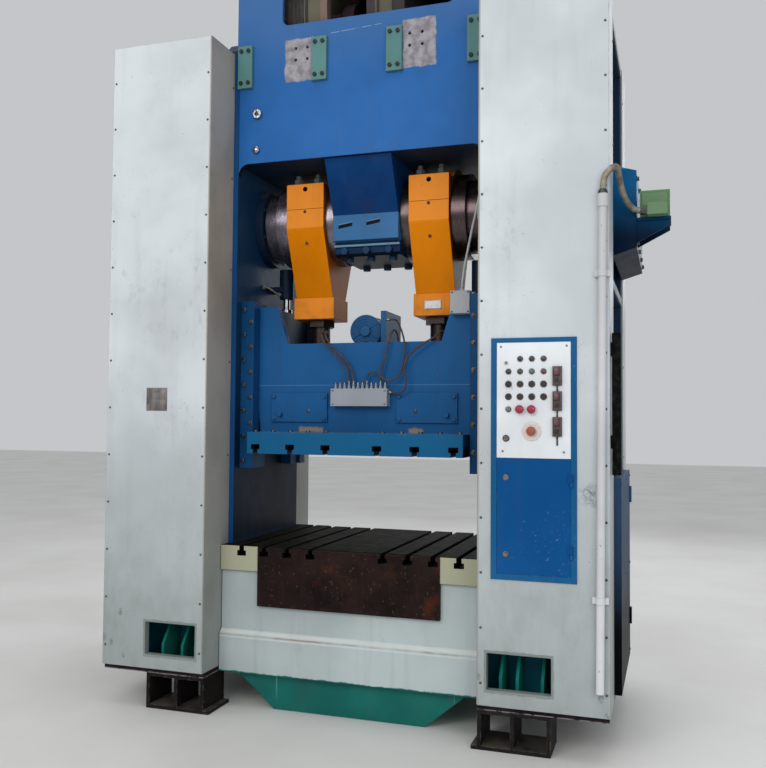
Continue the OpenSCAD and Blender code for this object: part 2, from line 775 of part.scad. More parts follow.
// Indicator lamps: a ring and a domed lens each.
module pilot_lamps() {
    color(GREY) {
        for (b = LAMPS) pilot_lamp(button_at(b), 12);
        pilot_lamp(lamp_pos, 8);
    }
}
module pilot_lamp(p, r) {
    rod_y(panel_front - 5, panel_front, p[0], p[1], r + 2);
    translate([p[0], panel_front - 5, p[1]]) rotate([90, 0, 0])
        rotate_extrude() polygon([[0, 0], [r, 0], [r * 0.92, 3], [r * 0.6, 6], [0, 7.5]]);
}

// Three upright instruments beside the buttons, joined by a cord channel.
device_z = [frame_z[1] - 227, frame_z[1] - 344, frame_z[1] - 464];
module panel_devices() {
    x = [button_x0 + 206, button_x0 + 250];
    color(DARK_STEEL) {
        for (z = device_z) {
            block(x, [panel_front - 22, panel_front], [z, z + 91]);
            block([x[0] + 5, x[1] - 5], [panel_front - 27, panel_front - 22], [z + 50, z + 84]);
        }
        block([(x[0] + x[1]) / 2 - 3, (x[0] + x[1]) / 2 + 3], [panel_front - 5, panel_front],
              [device_z[2] - 42, device_z[0]]);
    }
}

// Painted conduit up the right cover's front, held by two clamps.
module conduit_pipe() {
    lean = atan((pipe_top[0] - pipe_foot[0]) / (pipe_top[1] - pipe_foot[1]));
    length = norm(pipe_top - pipe_foot);
    color(CREAM) {
        translate([pipe_foot[0], pipe_y, pipe_foot[1]]) rotate([0, lean, 0]) {
            cylinder(h = length, r = pipe_r);
            translate([0, 0, length - 60]) cylinder(h = 60, r = pipe_r + pipe_collar);
            for (z = clamp_z) {
                translate([0, 0, z]) cylinder(h = 30, r = pipe_r + 3);
                translate([-pipe_r - 18, 4, z]) cube([2 * pipe_r + 36, cover_front - pipe_y - 4, 30]);
            }
        }
    }
}

// Flexible metal conduit from the pipe's top, round the cover's edge and down to the switch's terminal block.
// Each point is given from the pipe's upper end.
HOSE = [for (d = [[0, 0, 0.5], [1, 0, 40], [9, 0.3, 80], [29, 5.3, 109], [48, 26.8, 128], [59, 68.8, 135],
                  [63, 128.8, 122], [68, 178.8, 90], [78, 213.8, 52], [96, 241.8, 12], [124, 265, -18],
                  [156, 272.4, -26.9], [186.7, 273.3, -28]])
            [pipe_top[0], pipe_y, pipe_top[1]] + d];
module flexible_conduit() {
    color(GREY) tube(smooth_path(HOSE, 2), hose_r, 10);
}
// Points along a Catmull-Rom curve through the given ones, n steps between each two.
function smooth_path(p, n) = [
    for (i = [0:len(p) - 2])
        for (k = [0:n - 1])
            curve_point(p[max(i - 1, 0)], p[i], p[i + 1], p[min(i + 2, len(p) - 1)], k / n),
    p[len(p) - 1]
];
function curve_point(a, b, c, d, t) =
    0.5 * (2 * b + (c - a) * t + (2 * a - 5 * b + 4 * c - d) * t * t + (3 * b - a - 3 * c + d) * t * t * t);
function unit(v) = v / norm(v);
function path_dir(p, i) = unit(p[min(i + 1, len(p) - 1)] - p[max(i - 1, 0)]);
// A side vector carried along the path, so that the rings don't twist.
function side_vectors(p, i = 0, last = undef) =
    i >= len(p) ? [] :
    let (t = path_dir(p, i),
         start = is_undef(last) ? (abs(t[1]) < 0.9 ? [0, 1, 0] : [1, 0, 0]) : last,
         s = unit(start - t * (start * t)))
        concat([s], side_vectors(p, i + 1, s));
module tube(p, r, n) {
    sides = side_vectors(p);
    rings = [for (i = [0:len(p) - 1])
                 let (s = sides[i], u = cross(path_dir(p, i), s))
                     for (k = [0:n - 1]) p[i] + r * (cos(k * 360 / n) * s + sin(k * 360 / n) * u)];
    walls = [for (i = [0:len(p) - 2])
                 for (k = [0:n - 1])
                     let (a = i * n + k, b = i * n + (k + 1) % n)
                         each [[a, b, b + n], [a, b + n, a + n]]];
    caps = [[for (k = [n - 1:-1:0]) k], [for (k = [0:n - 1]) (len(p) - 1) * n + k]];
    polyhedron(points = rings, faces = [for (f = concat(walls, caps)) [for (j = [len(f) - 1:-1:0]) f[j]]]);
}

// Tapered housing over the crank's right end, with a shelf for the switch box.
module crank_end_housing() {
    x = [upright_x1, upright_x1 + crank_housing_w];
    color(LIGHT_BLUE) {
        difference() {
            along_y(-crank_housing_y, crank_housing_y)
                polygon([[x[0], housing_z[0]], [x[1], housing_z[0] + 36], [x[1], housing_z[1] - 34],
                         [x[0], housing_z[1]]]);
            block([x[0] - eps, x[1] - 12], [-crank_housing_y + 12, crank_housing_y - 12],
                  [housing_z[0] + 50, housing_z[1] - 50]);
        }
        block([x[1], switch_box_x[1] + 5], [switch_box_y[0] - 5, switch_box_y[1] + 5],
              [switch_box_z[0] - 14, switch_box_z[0]]);
        for (y = [switch_box_y[0] + 8, switch_box_y[1] - 20])
            along_y(y, y + 12)
                polygon([[x[1], switch_box_z[0] - 14], [switch_box_x[1], switch_box_z[0] - 14],
                         [switch_box_x[1], switch_box_z[0] - 40], [x[1], switch_box_z[0] - 120]]);
    }
}
module cam_switch_box() {
    color(GREEN) {
        block(switch_box_x, switch_box_y, switch_box_z);
        block([switch_box_x[0] + 10, switch_box_x[1] - 10], [switch_box_y[0] - 8, switch_box_y[0] + eps],
              [switch_box_z[0] + 12, switch_box_z[1] - 12]);
        block([switch_box_x[0] + 35, switch_box_x[1] - 10], [switch_box_y[0] - 65, switch_box_y[0] + eps],
              [switch_box_z[0] + slide_gap, switch_box_z[0] + 60]);
    }
}

// Black safety light bar on the right cover's side, on two brackets.
curtain_z = [panel_split_z - 72, frame_z[1] + 20];
module light_curtain() {
    y = [cover_front + 60, cover_front + 112];
    color(BLACK) {
        block([cover_x1 + 6, cover_x1 + 46], y, curtain_z);
        for (z = [curtain_z[0] + 123, curtain_z[1] - 106])
            block([cover_x1, cover_x1 + 7], [y[0] - 20, y[1] + 20], [z, z + 60]);
    }
}

// Main motor on its shelf behind the crown.
module main_motor() {
    x = [motor_x0, motor_x0 + motor_len];
    foot_z = drive_z - motor_foot_h;
    color(GREY) difference() {
        union() {
            rod_x(x[0] + 30, x[1] - 70, motor_y, drive_z, motor_r - 10);
            rod_x(x[0], x[0] + 31, motor_y, drive_z, motor_r);
            rod_x(x[1] - 71, x[1], motor_y, drive_z, motor_r);
            for (a = [0:15:345])
                translate([0, motor_y, drive_z]) rotate([a, 0, 0])
                    block([x[0] + 30, x[1] - 70], [motor_r - 14, motor_r + 4], [-3, 3]);
            block([x[0] + 60, x[1] - 110], [motor_y - 150, motor_y + 150], [foot_z, foot_z + 22]);
            for (y0 = [motor_y - 120, motor_y + 90])
                block([x[0] + 70, x[1] - 120], [y0, y0 + 30], [foot_z, drive_z - 90]);
            block([x[0] + 120, x[0] + 300], [motor_y - 80, motor_y + 80],
                  [drive_z + motor_r - 20, drive_z + motor_r + 90]);
        }
        rod_x(x[0] - eps, x[0] + 90, motor_y, drive_z, motor_shaft_r + run_gap);
    }
}

// V-belts from the motor pulley to the flywheel.
module drive_belts() {
    color(BLACK) for (k = [0:belt_count - 1])
        along_x(belt_x0 + k * belt_pitch + groove_side, belt_x0 + k * belt_pitch + groove_side + belt_w)
            translate([0, drive_z]) difference() {
                polygon(belt_points(flywheel_r + belt_gap, pulley_r + belt_gap));
                polygon(belt_points(flywheel_r - belt_t + 2 * belt_gap, pulley_r - belt_t + 2 * belt_gap));
            }
}
// Loop round two pulleys: an arc on each, joined by the straight runs.
function belt_points(r1, r2) =
    let (a = acos((r1 - r2) / motor_y), n = belt_arc_steps, m = belt_arc_steps / 2)
        concat([for (i = [0:n]) polar(r1 / cos((180 - a) / n), a + i * (360 - 2 * a) / n)],
               [for (i = [0:m]) [motor_y, 0] + polar(r2 / cos(a / m), -a + i * 2 * a / m)]);
// Grooved rim, drawn as radius and length for rotate_extrude.
module grooved_rim(r, r_in) {
    difference() {
        translate([r_in, 0]) square([r - r_in, belt_count * belt_pitch + 24]);
        for (k = [0:belt_count - 1])
            translate([r - belt_t, 12 + k * belt_pitch]) square([belt_t + eps, belt_w + 2 * groove_side]);
    }
}

// Flywheel on the drive shaft: grooved rim, thin web and hub.
module flywheel() {
    color(BEIGE) translate([flywheel_x, 0, drive_z]) rotate([0, 90, 0]) rotate_extrude($fn = 96) {
        grooved_rim(flywheel_r, flywheel_r - 60);
        translate([flywheel_r - 60, belt_count * belt_pitch + 20])
            square([60, flywheel_w - belt_count * belt_pitch - 20]);
        translate([100, 100]) square([flywheel_r - 155, 60]);
        translate([shaft_r + run_gap, 20]) square([40, flywheel_w - 40]);
    }
}
module motor_pulley() {
    color(DARK_STEEL) {
        translate([belt_x0 - 12, motor_y, drive_z]) rotate([0, 90, 0])
            rotate_extrude() grooved_rim(pulley_r, 0);
        rod_x(belt_x0 - 12, motor_x0 + 85, motor_y, drive_z, motor_shaft_r);
    }
}
// Drive shaft with its pinion and the clutch and brake drum.
module drive_shaft() {
    color(BEIGE) {
        rod_x(-crown_x + 25, crown_x - 25, 0, drive_z, shaft_r);
        along_x(second_gear_x, second_gear_x + second_gear_w) translate([0, drive_z])
            polygon(gear_points(drive_teeth, drive_module, drive_a0));
        translate([clutch_x, 0, drive_z]) rotate([0, 90, 0]) rotate_extrude($fn = 96)
            polygon([[shaft_r - eps, 0], [clutch_r, 0], [clutch_r, 60], [clutch_r - 25, 66],
                     [clutch_r - 25, 150], [clutch_r, 156], [clutch_r, clutch_w], [shaft_r - eps, clutch_w]]);
        translate([flywheel_x + flywheel_w + 6, 0, drive_z]) rotate([0, 90, 0]) cylinder(h = 70, r = 150);
    }
}
module intermediate_shaft() {
    color(STEEL) {
        rod_x(gear_x - 30, rib_x + rib_t, 0, inter_z, inter_r);
        along_x(gear_x, gear_x + gear_w) translate([0, inter_z])
            polygon(gear_points(pinion_teeth, crank_module, pinion_a0));
        along_x(second_gear_x, second_gear_x + second_gear_w) translate([0, inter_z])
            polygon(gear_points(second_teeth, drive_module, second_a0));
    }
}
module idler_gear() {
    color(STEEL) difference() {
        along_x(gear_x, gear_x + gear_w) translate([0, idler_z])
            polygon(gear_points(idler_teeth, crank_module, idler_a0));
        rod_x(gear_x - eps, gear_x + gear_w + eps, 0, idler_z, idler_pin_r + run_gap);
    }
}
// Crank gear with a thinned web between rim and hub and six lightening holes.
module main_gear() {
    r = main_teeth * crank_module / 2;
    color(STEEL) difference() {
        along_x(gear_x, gear_x + gear_w) translate([0, crank_z])
            polygon(gear_points(main_teeth, crank_module, main_a0));
        rod_x(gear_x - eps, gear_x + gear_w + eps, 0, crank_z, side_journal_r + run_gap);
        for (x = [gear_x - eps, gear_x + gear_w - 25])
            difference() {
                rod_x(x, x + 25 + eps, 0, crank_z, r - 50);
                rod_x(x - eps, x + 26 + eps, 0, crank_z, side_journal_r + 50);
            }
        for (a = [0:60:300])
            rod_x(gear_x, gear_x + gear_w, 255 * cos(a), crank_z + 255 * sin(a), 55);
    }
}

// Crankshaft: journals, webs and two eccentrics in line, at top dead centre.
module crankshaft() {
    color(DARK_STEEL) {
        rod_x(crank_left_x, -collar_x1 + eps, 0, crank_z, side_journal_r);
        rod_x(collar_x1 - eps, upright_x1 - 60, 0, crank_z, side_journal_r);
        rod_x(upright_x1 - 60 - eps, crank_right_x, 0, crank_z, crank_end_r);
        rod_x(-web_in_x[0] - eps, web_in_x[0] + eps, 0, crank_z, centre_journal_r);
        both_sides() {
            rod_x(web_in_x[0], web_in_x[1], 0, crank_z, crank_web_r);
            rod_x(web_out_x[0], web_out_x[1], 0, crank_z, crank_web_r);
            rod_x(web_out_x[1] - eps, collar_x1, 0, crank_z, collar_r);
            rod_x(web_in_x[1] - eps, web_out_x[0] + eps, 0, eccentric_z, eccentric_r);
        }
    }
}

// Pitman: lower half of the strap, a shank that narrows in depth, and the foot block.
module pitman(x) {
    translate([x, 0, 0]) color(ORANGE) difference() {
        union() {
            along_x(-pitman_w / 2, pitman_w / 2)
                polygon([[-strap_half_y, eccentric_z], [-strap_half_y, knee_z], [-neck_half_y, foot_top_z],
                         [neck_half_y, foot_top_z], [strap_half_y, knee_z], [strap_half_y, eccentric_z]]);
            block([-foot_w / 2, foot_w / 2], [-foot_half_y, foot_half_y], [foot_bottom_z, foot_top_z]);
        }
        rod_x(-pitman_w, pitman_w, 0, eccentric_z, eccentric_r + run_gap);
        rod_z(foot_bottom_z - eps, foot_bottom_z + 100, 0, 0, screw_r + run_gap);
    }
}
module left_pitman() {
    pitman(-pitman_x);
}
module right_pitman() {
    pitman(pitman_x);
}
// Strap caps with their studs and a lifting hole in the front face.
module pitman_caps() {
    both_sides() translate([pitman_x, 0, 0]) {
        color(ORANGE) difference() {
            along_x(-pitman_w / 2, pitman_w / 2) {
                translate([-strap_half_y, eccentric_z])
                    square([2 * strap_half_y, cap_shoulder_z - eccentric_z]);
                intersection() {
                    translate([0, eccentric_z]) circle(dome_r);
                    translate([-dome_r, eccentric_z]) square([2 * dome_r, dome_r]);
                }
            }
            rod_x(-pitman_w, pitman_w, 0, eccentric_z, eccentric_r + run_gap);
            rod_y(-strap_half_y - eps, -strap_half_y + 45, 0, cap_shoulder_z - 30, 13.5);
        }
        color(STEEL) front_and_back() for (x = [-1, 1] * 60) {
            hex_z(cap_shoulder_z, cap_shoulder_z + 34, x, -stud_y, 27);
            rod_z(cap_shoulder_z + 34, cap_shoulder_z + 58, x, -stud_y, 15);
        }
    }
}
// Slide adjusting screws with a ball end and a lock nut, screwed into the pitmans' feet.
module adjusting_screws() {
    color(DARK_STEEL) both_sides() translate([pitman_x, 0, 0]) {
        rod_z(ball_z + 90, foot_bottom_z + 95, 0, 0, screw_r);
        rod_z(ball_z, ball_z + 91, 0, 0, screw_neck_r);
        translate([0, 0, ball_z]) sphere(ball_r);
        difference() {
            hex_z(foot_bottom_z - lock_nut_h, foot_bottom_z, 0, 0, lock_nut_r);
            rod_z(foot_bottom_z - lock_nut_h - eps, foot_bottom_z + eps, 0, 0, screw_r - eps);
        }
    }
}

// Slide: T-slot plate, body with ball pockets, and upper walls with a sloped cut-out.
module slide() {
    color(SLIDE_BLUE) difference() {
        union() {
            block([-slide_plate_x, slide_plate_x], [-half_plate_d, half_plate_d],
                  [slide_bottom, slide_plate_top]);
            along_y(-half_slide_d, half_slide_d)
                polygon([[-slide_foot_x, slide_plate_top], [-slide_x, slide_shoulder_z], [-slide_x, slide_top],
                         [slide_x, slide_top], [slide_x, slide_shoulder_z], [slide_foot_x, slide_plate_top]]);
        }
        block([-slide_guide_x, slide_guide_x], [-half_slide_d + slide_wall_t, half_slide_d - slide_wall_t],
              [slide_deck, slide_top + eps]);
        along_y(-half_slide_d - eps, half_slide_d + eps)
            polygon([[-cut_out_bottom_x, cut_out_z], [-cut_out_top_x, slide_top + eps],
                     [cut_out_top_x, slide_top + eps], [cut_out_bottom_x, cut_out_z]]);
        both_sides()
            block([pitman_x - ball_pocket[0], pitman_x + ball_pocket[0]], [-ball_pocket[1], ball_pocket[1]],
                  [ball_pocket[2], slide_deck + eps]);
        for (x = slide_slots)
            along_y(-half_plate_d - eps, half_plate_d + eps)
                translate([x, slide_bottom]) mirror([0, 1]) t_slot();
        both_sides()
            rod_z(slide_top - 44, slide_top + eps, balance_x, 0, balance_rod_r);
    }
}
// Bolted plates over the slide's front openings.
module access_plates() {
    color(SLIDE_BLUE) both_sides() {
        y = -half_slide_d;
        block([200, 539], [y - 12, y], [slide_plate_top + 56, slide_plate_top + 218]);
        for (x = [218, 521])
            for (z = [slide_plate_top + 76, slide_plate_top + 198])
                hex_y(y - 20, y - 12, x, z, 12);
        rod_y(y - 34, y - 12, 482, slide_plate_top + 100, 14);
    }
}
// Grease distributor box on the slide's front, with its row of outlet fittings.
module lube_distributor() {
    y = [-half_slide_d - 58, -half_slide_d];
    color(GREY) block([-162, 162], y, [lube_z - 96, lube_z]);
    color(BRASS) for (k = [0:11])
        lube_fitting(fitting_x(k), y[0] + 29);
}
lube_z = slide_plate_top + 241;
fitting_pitch = 26;
function fitting_x(k) = -143 + fitting_pitch * k;
module lube_fitting(x, y) {
    hex_z(lube_z, lube_z + 12, x, y, 9);
    rod_z(lube_z + 12, lube_z + 24, x, y, 5.5);
}
// Grease hoses from the distributor: over the slide's front edge to its deck, and to the adjusting drive.
// Each point is given as X, Y and the height above the slide's lower face.
hose_out_r = 5;
HOSE_LEFT = [[-65, -324, 384.3], [-67.5, -324, 422], [-88, -325, 487], [-146, -326, 549], [-200, -326, 600],
             [-230, -319, 643], [-246, -294, 676], [-252, -258, 682], [-255, -223, 660], [-256, -207, 624],
             [-256, -205, 597.3]];
HOSE_SECOND = [for (p = HOSE_LEFT) p + [fitting_pitch, 0, 0]];
HOSE_MIDDLE = [[117, -324, 384.3], [118.5, -324, 430], [131, -326, 492], [148, -327, 552], [161, -326, 604],
               [169, -317, 646], [175, -292, 677], [178, -257, 682], [180, -223, 660], [181, -207, 624],
               [181, -205, 597.3]];
HOSE_DRIVE = [[39, -324, 384.3], [39.5, -324, 404], [44, -326, 428], [60, -331, 447], [84, -337, 452],
              [107, -344, 443], [126, -346, 424], [147, -346, 408], [172, -344, 402], [196, -340, 408],
              [216, -335, 422], [231, -330, 444], [241, -327, 474], [247, -326, 510], [252, -326, 552],
              [252, -324, 594], [243, -314, 630], [228, -289, 660], [210, -256, 688], [191, -221, 712],
              [171, -184, 734], [150, -151, 749], [127, -130, 756], [104, -124.7, 757], [85.5, -124, 757]];
HOSE_SCREW = [[162.5, -324, 340], [179, -324.5, 339.5], [200, -328, 336], [223, -336, 332], [244, -344, 339],
              [260, -348, 357], [268, -349, 382], [267, -349, 410], [260, -349, 440], [256, -348, 472],
              [264, -346, 506], [288, -344, 542], [320, -341, 572], [360, -337, 600], [398, -329, 622],
              [426, -310, 645], [441, -280, 668], [449, -245, 668], [453, -217, 645], [454, -206.3, 616],
              [454, -205, 597.3]];
module lube_hoses() {
    color(BLACK) for (route = [HOSE_LEFT, HOSE_SECOND, HOSE_MIDDLE, HOSE_DRIVE, HOSE_SCREW])
        tube(smooth_path([for (p = route) p + [0, 0, slide_bottom]], 2), hose_out_r, 6);
}

// Slide adjusting motor on the slide's deck, with its terminal box and cable gland.
ADJUST_POS = [-45, slide_deck + 100];
module adjusting_drive() {
    x = ADJUST_POS[0];
    z = ADJUST_POS[1];
    color(SLIDE_BLUE) {
        rod_y(-95, 150, x, z, 88);
        rod_y(-110, -94, x, z, 94);
        rod_y(-126, -109, x, z, 30);
        block([x - 80, x + 80], [-90, 140], [slide_deck, slide_deck + 30]);
        block([x + 100, x + 130], [-140, 150], [slide_deck, slide_top - 20]);
        block([x + 60, x + 101], [-60, 60], [slide_deck, z + 40]);
    }
    y = -half_slide_d;
    color(GREY) {
        block([508, 612], [y - 55, y], [slide_top - 74, slide_top + 47]);
        rod_z(slide_top + 46, slide_top + 62, 566, y - 27, 12);
    }
}

// Air cylinders that balance the slide's weight, on brackets beside the slide.
module balance_cylinders() {
    color(LIGHT_BLUE) both_sides() {
        difference() {
            rod_z(balance_z[0], balance_z[1], balance_x, 0, balance_r);
            rod_z(balance_z[0] + 12, balance_z[1] - 12, balance_x, 0, balance_bore_r);
            rod_z(balance_z[0] - eps, balance_z[0] + 13, balance_x, 0, balance_rod_r + run_gap);
        }
        difference() {
            block([balance_x, half_throat], [-50, 50], [balance_z[0] + 40, balance_z[0] + 70]);
            rod_z(balance_z[0], balance_z[1], balance_x, 0, balance_r - eps);
        }
    }
}
module balance_rods() {
    color(STEEL) both_sides() {
        rod_z(slide_top - 44, balance_z[1] - 14, balance_x, 0, balance_rod_r);
        rod_z(balance_z[1] - 14 - piston_h, balance_z[1] - 14, balance_x, 0, balance_bore_r - run_gap);
        rod_z(slide_top, slide_top + 20, balance_x, 0, balance_rod_r + 14);
    }
}

// Blue door below the operator plate, on two hinge barrels.
module cabinet_door() {
    y = [panel_front, panel_front + panel_t];
    color(DOOR_BLUE) {
        difference() {
            block(plate_x, y, door_z);
            for (z = lock_z) rod_y(y[0] - eps, y[1] + eps, lock_x, z, lock_r + 0.1);
        }
        for (z = hinge_z) difference() {
            union() {
                rod_z(z + slide_gap, z + 40, hinge_x, hinge_y, hinge_r);
                block([hinge_x - 14, plate_x[1]], [hinge_y, y[0] + eps], [z + slide_gap, z + 40]);
                block([plate_x[1] - eps, hinge_x], [hinge_y, cover_front - frame_t - slide_gap],
                      [z + slide_gap, z + 40]);
            }
            rod_z(z - eps, z + 41, hinge_x, hinge_y, hinge_pin_r + run_gap);
        }
    }
}
// Quarter-turn lock: a flush round body with a slot, and a cam that turns behind the frame's lip.
module door_lock(z) {
    color(STEEL) {
        difference() {
            rod_y(panel_front - 3, panel_front + panel_t + 6, lock_x, z, lock_r);
            block([lock_x - 8, lock_x + 8], [panel_front - 3 - eps, panel_front], [z - 1.5, z + 1.5]);
        }
        block([lock_x - 8, lock_x + 8], [panel_front + panel_t + 2, panel_front + panel_t + 6],
              [z - 8, z + 52]);
    }
}
module upper_door_lock() {
    door_lock(lock_z[1]);
}
module lower_door_lock() {
    door_lock(lock_z[0]);
}

// Stem of a control through the plate's hole, with a stop collar behind the plate.
module control_stem(p, front) {
    back = panel_front + panel_t;
    rod_y(front, back + 8, p[0], p[1], stem_r);
    rod_y(back + slide_gap, back + 4, p[0], p[1], stem_r + 3);
}
// A flat push button that stands out of its bezel ring by a little more than its travel.
module push_button(p) {
    color(BLACK) control_stem(p, panel_front - ring_t - button_travel - 0.5);
}
module button_1() {
    push_button(button_at(BUTTONS[0]));
}
module button_2() {
    push_button(button_at(BUTTONS[1]));
}
module button_3() {
    push_button(button_at(BUTTONS[2]));
}
module button_4() {
    push_button(button_at(BUTTONS[3]));
}
module button_5() {
    push_button(button_at(BUTTONS[4]));
}
module button_6() {
    push_button(button_at(BUTTONS[5]));
}
module button_7() {
    push_button(button_at(BUTTONS[6]));
}
// Mushroom head on a sliding stem.
module mushroom(p, r) {
    front = panel_front - ring_t - mushroom_travel - 4;
    color(RED) {
        translate([p[0], front, p[1]]) rotate([90, 0, 0]) rotate_extrude()
            polygon([[0, 0], [r - 2, 0], [r, 3], [r, 8], [r - 3, 12], [r * 0.5, 15], [0, 16]]);
        control_stem(p, front - eps);
    }
}
module mushroom_button_1() {
    mushroom(button_at(MUSHROOMS[0]), mushroom_r);
}
module mushroom_button_2() {
    mushroom(button_at(MUSHROOMS[1]), mushroom_r);
}
module emergency_stop() {
    mushroom(e_stop_pos, mushroom_r + 1.5);
}
// Rotary selector with a finger bar across its knob.
module selector_switch() {
    p = button_at(SELECTOR);
    front = panel_front - ring_t;
    color(BLACK) {
        control_stem(p, front - 8);
        translate([p[0], front - 18, p[1]]) rotate([0, 45, 0])
            block([-6, 18], [0, 11], [-3.5, 3.5]);
    }
}
// Key-operated switch: a slotted rotor in its ring.
module key_switch() {
    y0 = panel_front - ring_t - 6;
    color(STEEL) difference() {
        control_stem(key_pos, y0);
        block([key_pos[0] - 1.5, key_pos[0] + 1.5], [y0 - eps, y0 + 5], [key_pos[1] - 7, key_pos[1] + 7]);
    }
}

bed();
left_upright();
right_upright();
crown();
bolster_plate();
bed_front_plate();
machine_feet();
gib_rails();
crown_brackets();
centre_bearing_cap();
bearing_flanges();
crank_bushes();
left_front_cover();
right_front_cover();
rear_covers();
side_panels();
control_cabinet();
panel_plate();
pilot_lamps();
panel_devices();
conduit_pipe();
flexible_conduit();
crank_end_housing();
cam_switch_box();
light_curtain();
main_motor();
drive_belts();
balance_cylinders();
cabinet_door();
upper_door_lock();
lower_door_lock();
selector_switch();
button_1();
button_2();
button_3();
button_4();
button_5();
button_6();
button_7();
mushroom_button_1();
mushroom_button_2();
emergency_stop();
key_switch();
crankshaft();
main_gear();
idler_gear();
intermediate_shaft();
drive_shaft();
flywheel();
motor_pulley();
left_pitman();
right_pitman();
pitman_caps();
adjusting_screws();
slide();
access_plates();
lube_distributor();
lube_hoses();
adjusting_drive();
balance_rods();
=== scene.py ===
"""Looks of a two-point stamping press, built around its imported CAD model. Metres, +Z up."""
import math
import random
import bmesh
import bpy
from mathutils import Matrix, Vector


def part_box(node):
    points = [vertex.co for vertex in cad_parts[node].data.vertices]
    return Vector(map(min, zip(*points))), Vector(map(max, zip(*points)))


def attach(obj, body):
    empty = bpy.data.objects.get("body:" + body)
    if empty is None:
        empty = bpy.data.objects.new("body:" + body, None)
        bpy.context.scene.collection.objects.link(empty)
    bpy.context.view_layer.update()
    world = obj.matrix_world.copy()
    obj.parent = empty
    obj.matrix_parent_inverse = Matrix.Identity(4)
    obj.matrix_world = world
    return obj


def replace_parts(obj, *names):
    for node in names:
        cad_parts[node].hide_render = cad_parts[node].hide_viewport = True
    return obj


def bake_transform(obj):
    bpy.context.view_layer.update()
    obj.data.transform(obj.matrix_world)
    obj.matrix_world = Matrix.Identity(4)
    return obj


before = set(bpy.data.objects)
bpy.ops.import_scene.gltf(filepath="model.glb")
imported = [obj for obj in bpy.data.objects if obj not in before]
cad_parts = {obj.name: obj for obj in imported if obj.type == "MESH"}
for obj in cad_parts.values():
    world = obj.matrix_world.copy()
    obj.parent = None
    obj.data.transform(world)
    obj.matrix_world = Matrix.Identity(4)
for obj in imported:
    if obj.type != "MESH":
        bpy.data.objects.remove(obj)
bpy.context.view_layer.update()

scene = bpy.context.scene
random.seed(7)

# Places of the CAD part, in metres
COVER_FRONT = -0.705
FRAME_FRONT = -0.435
SLIDE_FRONT = -0.295
PANEL_FRONT = -0.710
RAIL_FRONT = 0.374
SLIDE_BOTTOM = 1.363
COVER_X = (0.731, 1.345)
WINDOW_X, WINDOW_Z = (0.766, 1.092), (0.273, 0.473)
PITMAN_X = 0.364
SPLIT_Z = 2.750
BUTTON_X, BUTTON_Z = 0.881, 1.846
PITCH_X, PITCH_Z = 0.055, 0.0595
STOP = (0.990, 1.506)
KEY = (0.870, 1.471)
SMALL_LAMP = (0.870, 1.828)

BOTH = (-1, 1)
FORWARD, UP = (0, -1, 0), (0, 0, 1)


def button_at(column, row):
    return BUTTON_X + column * PITCH_X, BUTTON_Z - row * PITCH_Z


# Camera, floor and light

def make_camera():
    """The photograph's view: an eye in front of the right cover, turned to the left and a little up."""
    eye = (1.622, -4.905, 1.550)
    yaw, pitch, roll = (math.radians(angle) for angle in (18.577, 2.344, 0.4745))
    focal_px, long_side_px, shift_px, sensor_mm = 890.81, 768, 8.5, 36
    data = bpy.data.cameras.new("camera")
    data.sensor_width = sensor_mm
    data.lens = sensor_mm * focal_px / long_side_px
    data.shift_x = shift_px / long_side_px
    data.clip_end = 200
    camera = bpy.data.objects.new("camera", data)
    scene.collection.objects.link(camera)
    camera.matrix_world = (Matrix.Translation(eye) @ Matrix.Rotation(yaw, 4, "Z")
                           @ Matrix.Rotation(math.pi / 2 + pitch, 4, "X") @ Matrix.Rotation(roll, 4, "Z"))
    scene.camera = camera


def area_light(name, place, target, size, power, colour=(1, 1, 1)):
    data = bpy.data.lights.new(name, "AREA")
    data.shape = "RECTANGLE"
    data.size, data.size_y = size
    data.energy = power
    data.color = colour
    light = bpy.data.objects.new(name, data)
    scene.collection.objects.link(light)
    light.location = place
    light.rotation_euler = (Vector(target) - Vector(place)).to_track_quat("-Z", "Y").to_euler()


def make_studio():
    world = bpy.data.worlds.new("studio")
    scene.world = world
    world.use_nodes = True
    back = world.node_tree.nodes["Background"]
    back.inputs["Color"].default_value = (0.95, 0.975, 1.0, 1)
    back.inputs["Strength"].default_value = 0.58
    area_light("key", (-1.6, -8.5, 5.6), (0.2, -0.4, 2.2), (5, 4), 250, (1.0, 0.99, 0.97))
    area_light("fill", (3.9, -5.0, 2.9), (1.0, 0, 1.9), (2.5, 2.5), 62, (0.93, 0.96, 1.0))
    area_light("top", (0.5, -0.5, 8.5), (0, 0, 3), (6, 5), 130)
    area_light("rear", (1.0, 7.0, 5.0), (0, 0, 2.2), (6, 4), 130, (0.95, 0.98, 1.0))
    scene.view_settings.view_transform = "Standard"


# Materials: procedural nodes in the object's own metres

def srgb(r, g, b):
    def linear(v):
        v /= 255
        return v / 12.92 if v <= 0.04045 else ((v + 0.055) / 1.055) ** 2.4
    return (linear(r), linear(g), linear(b), 1)


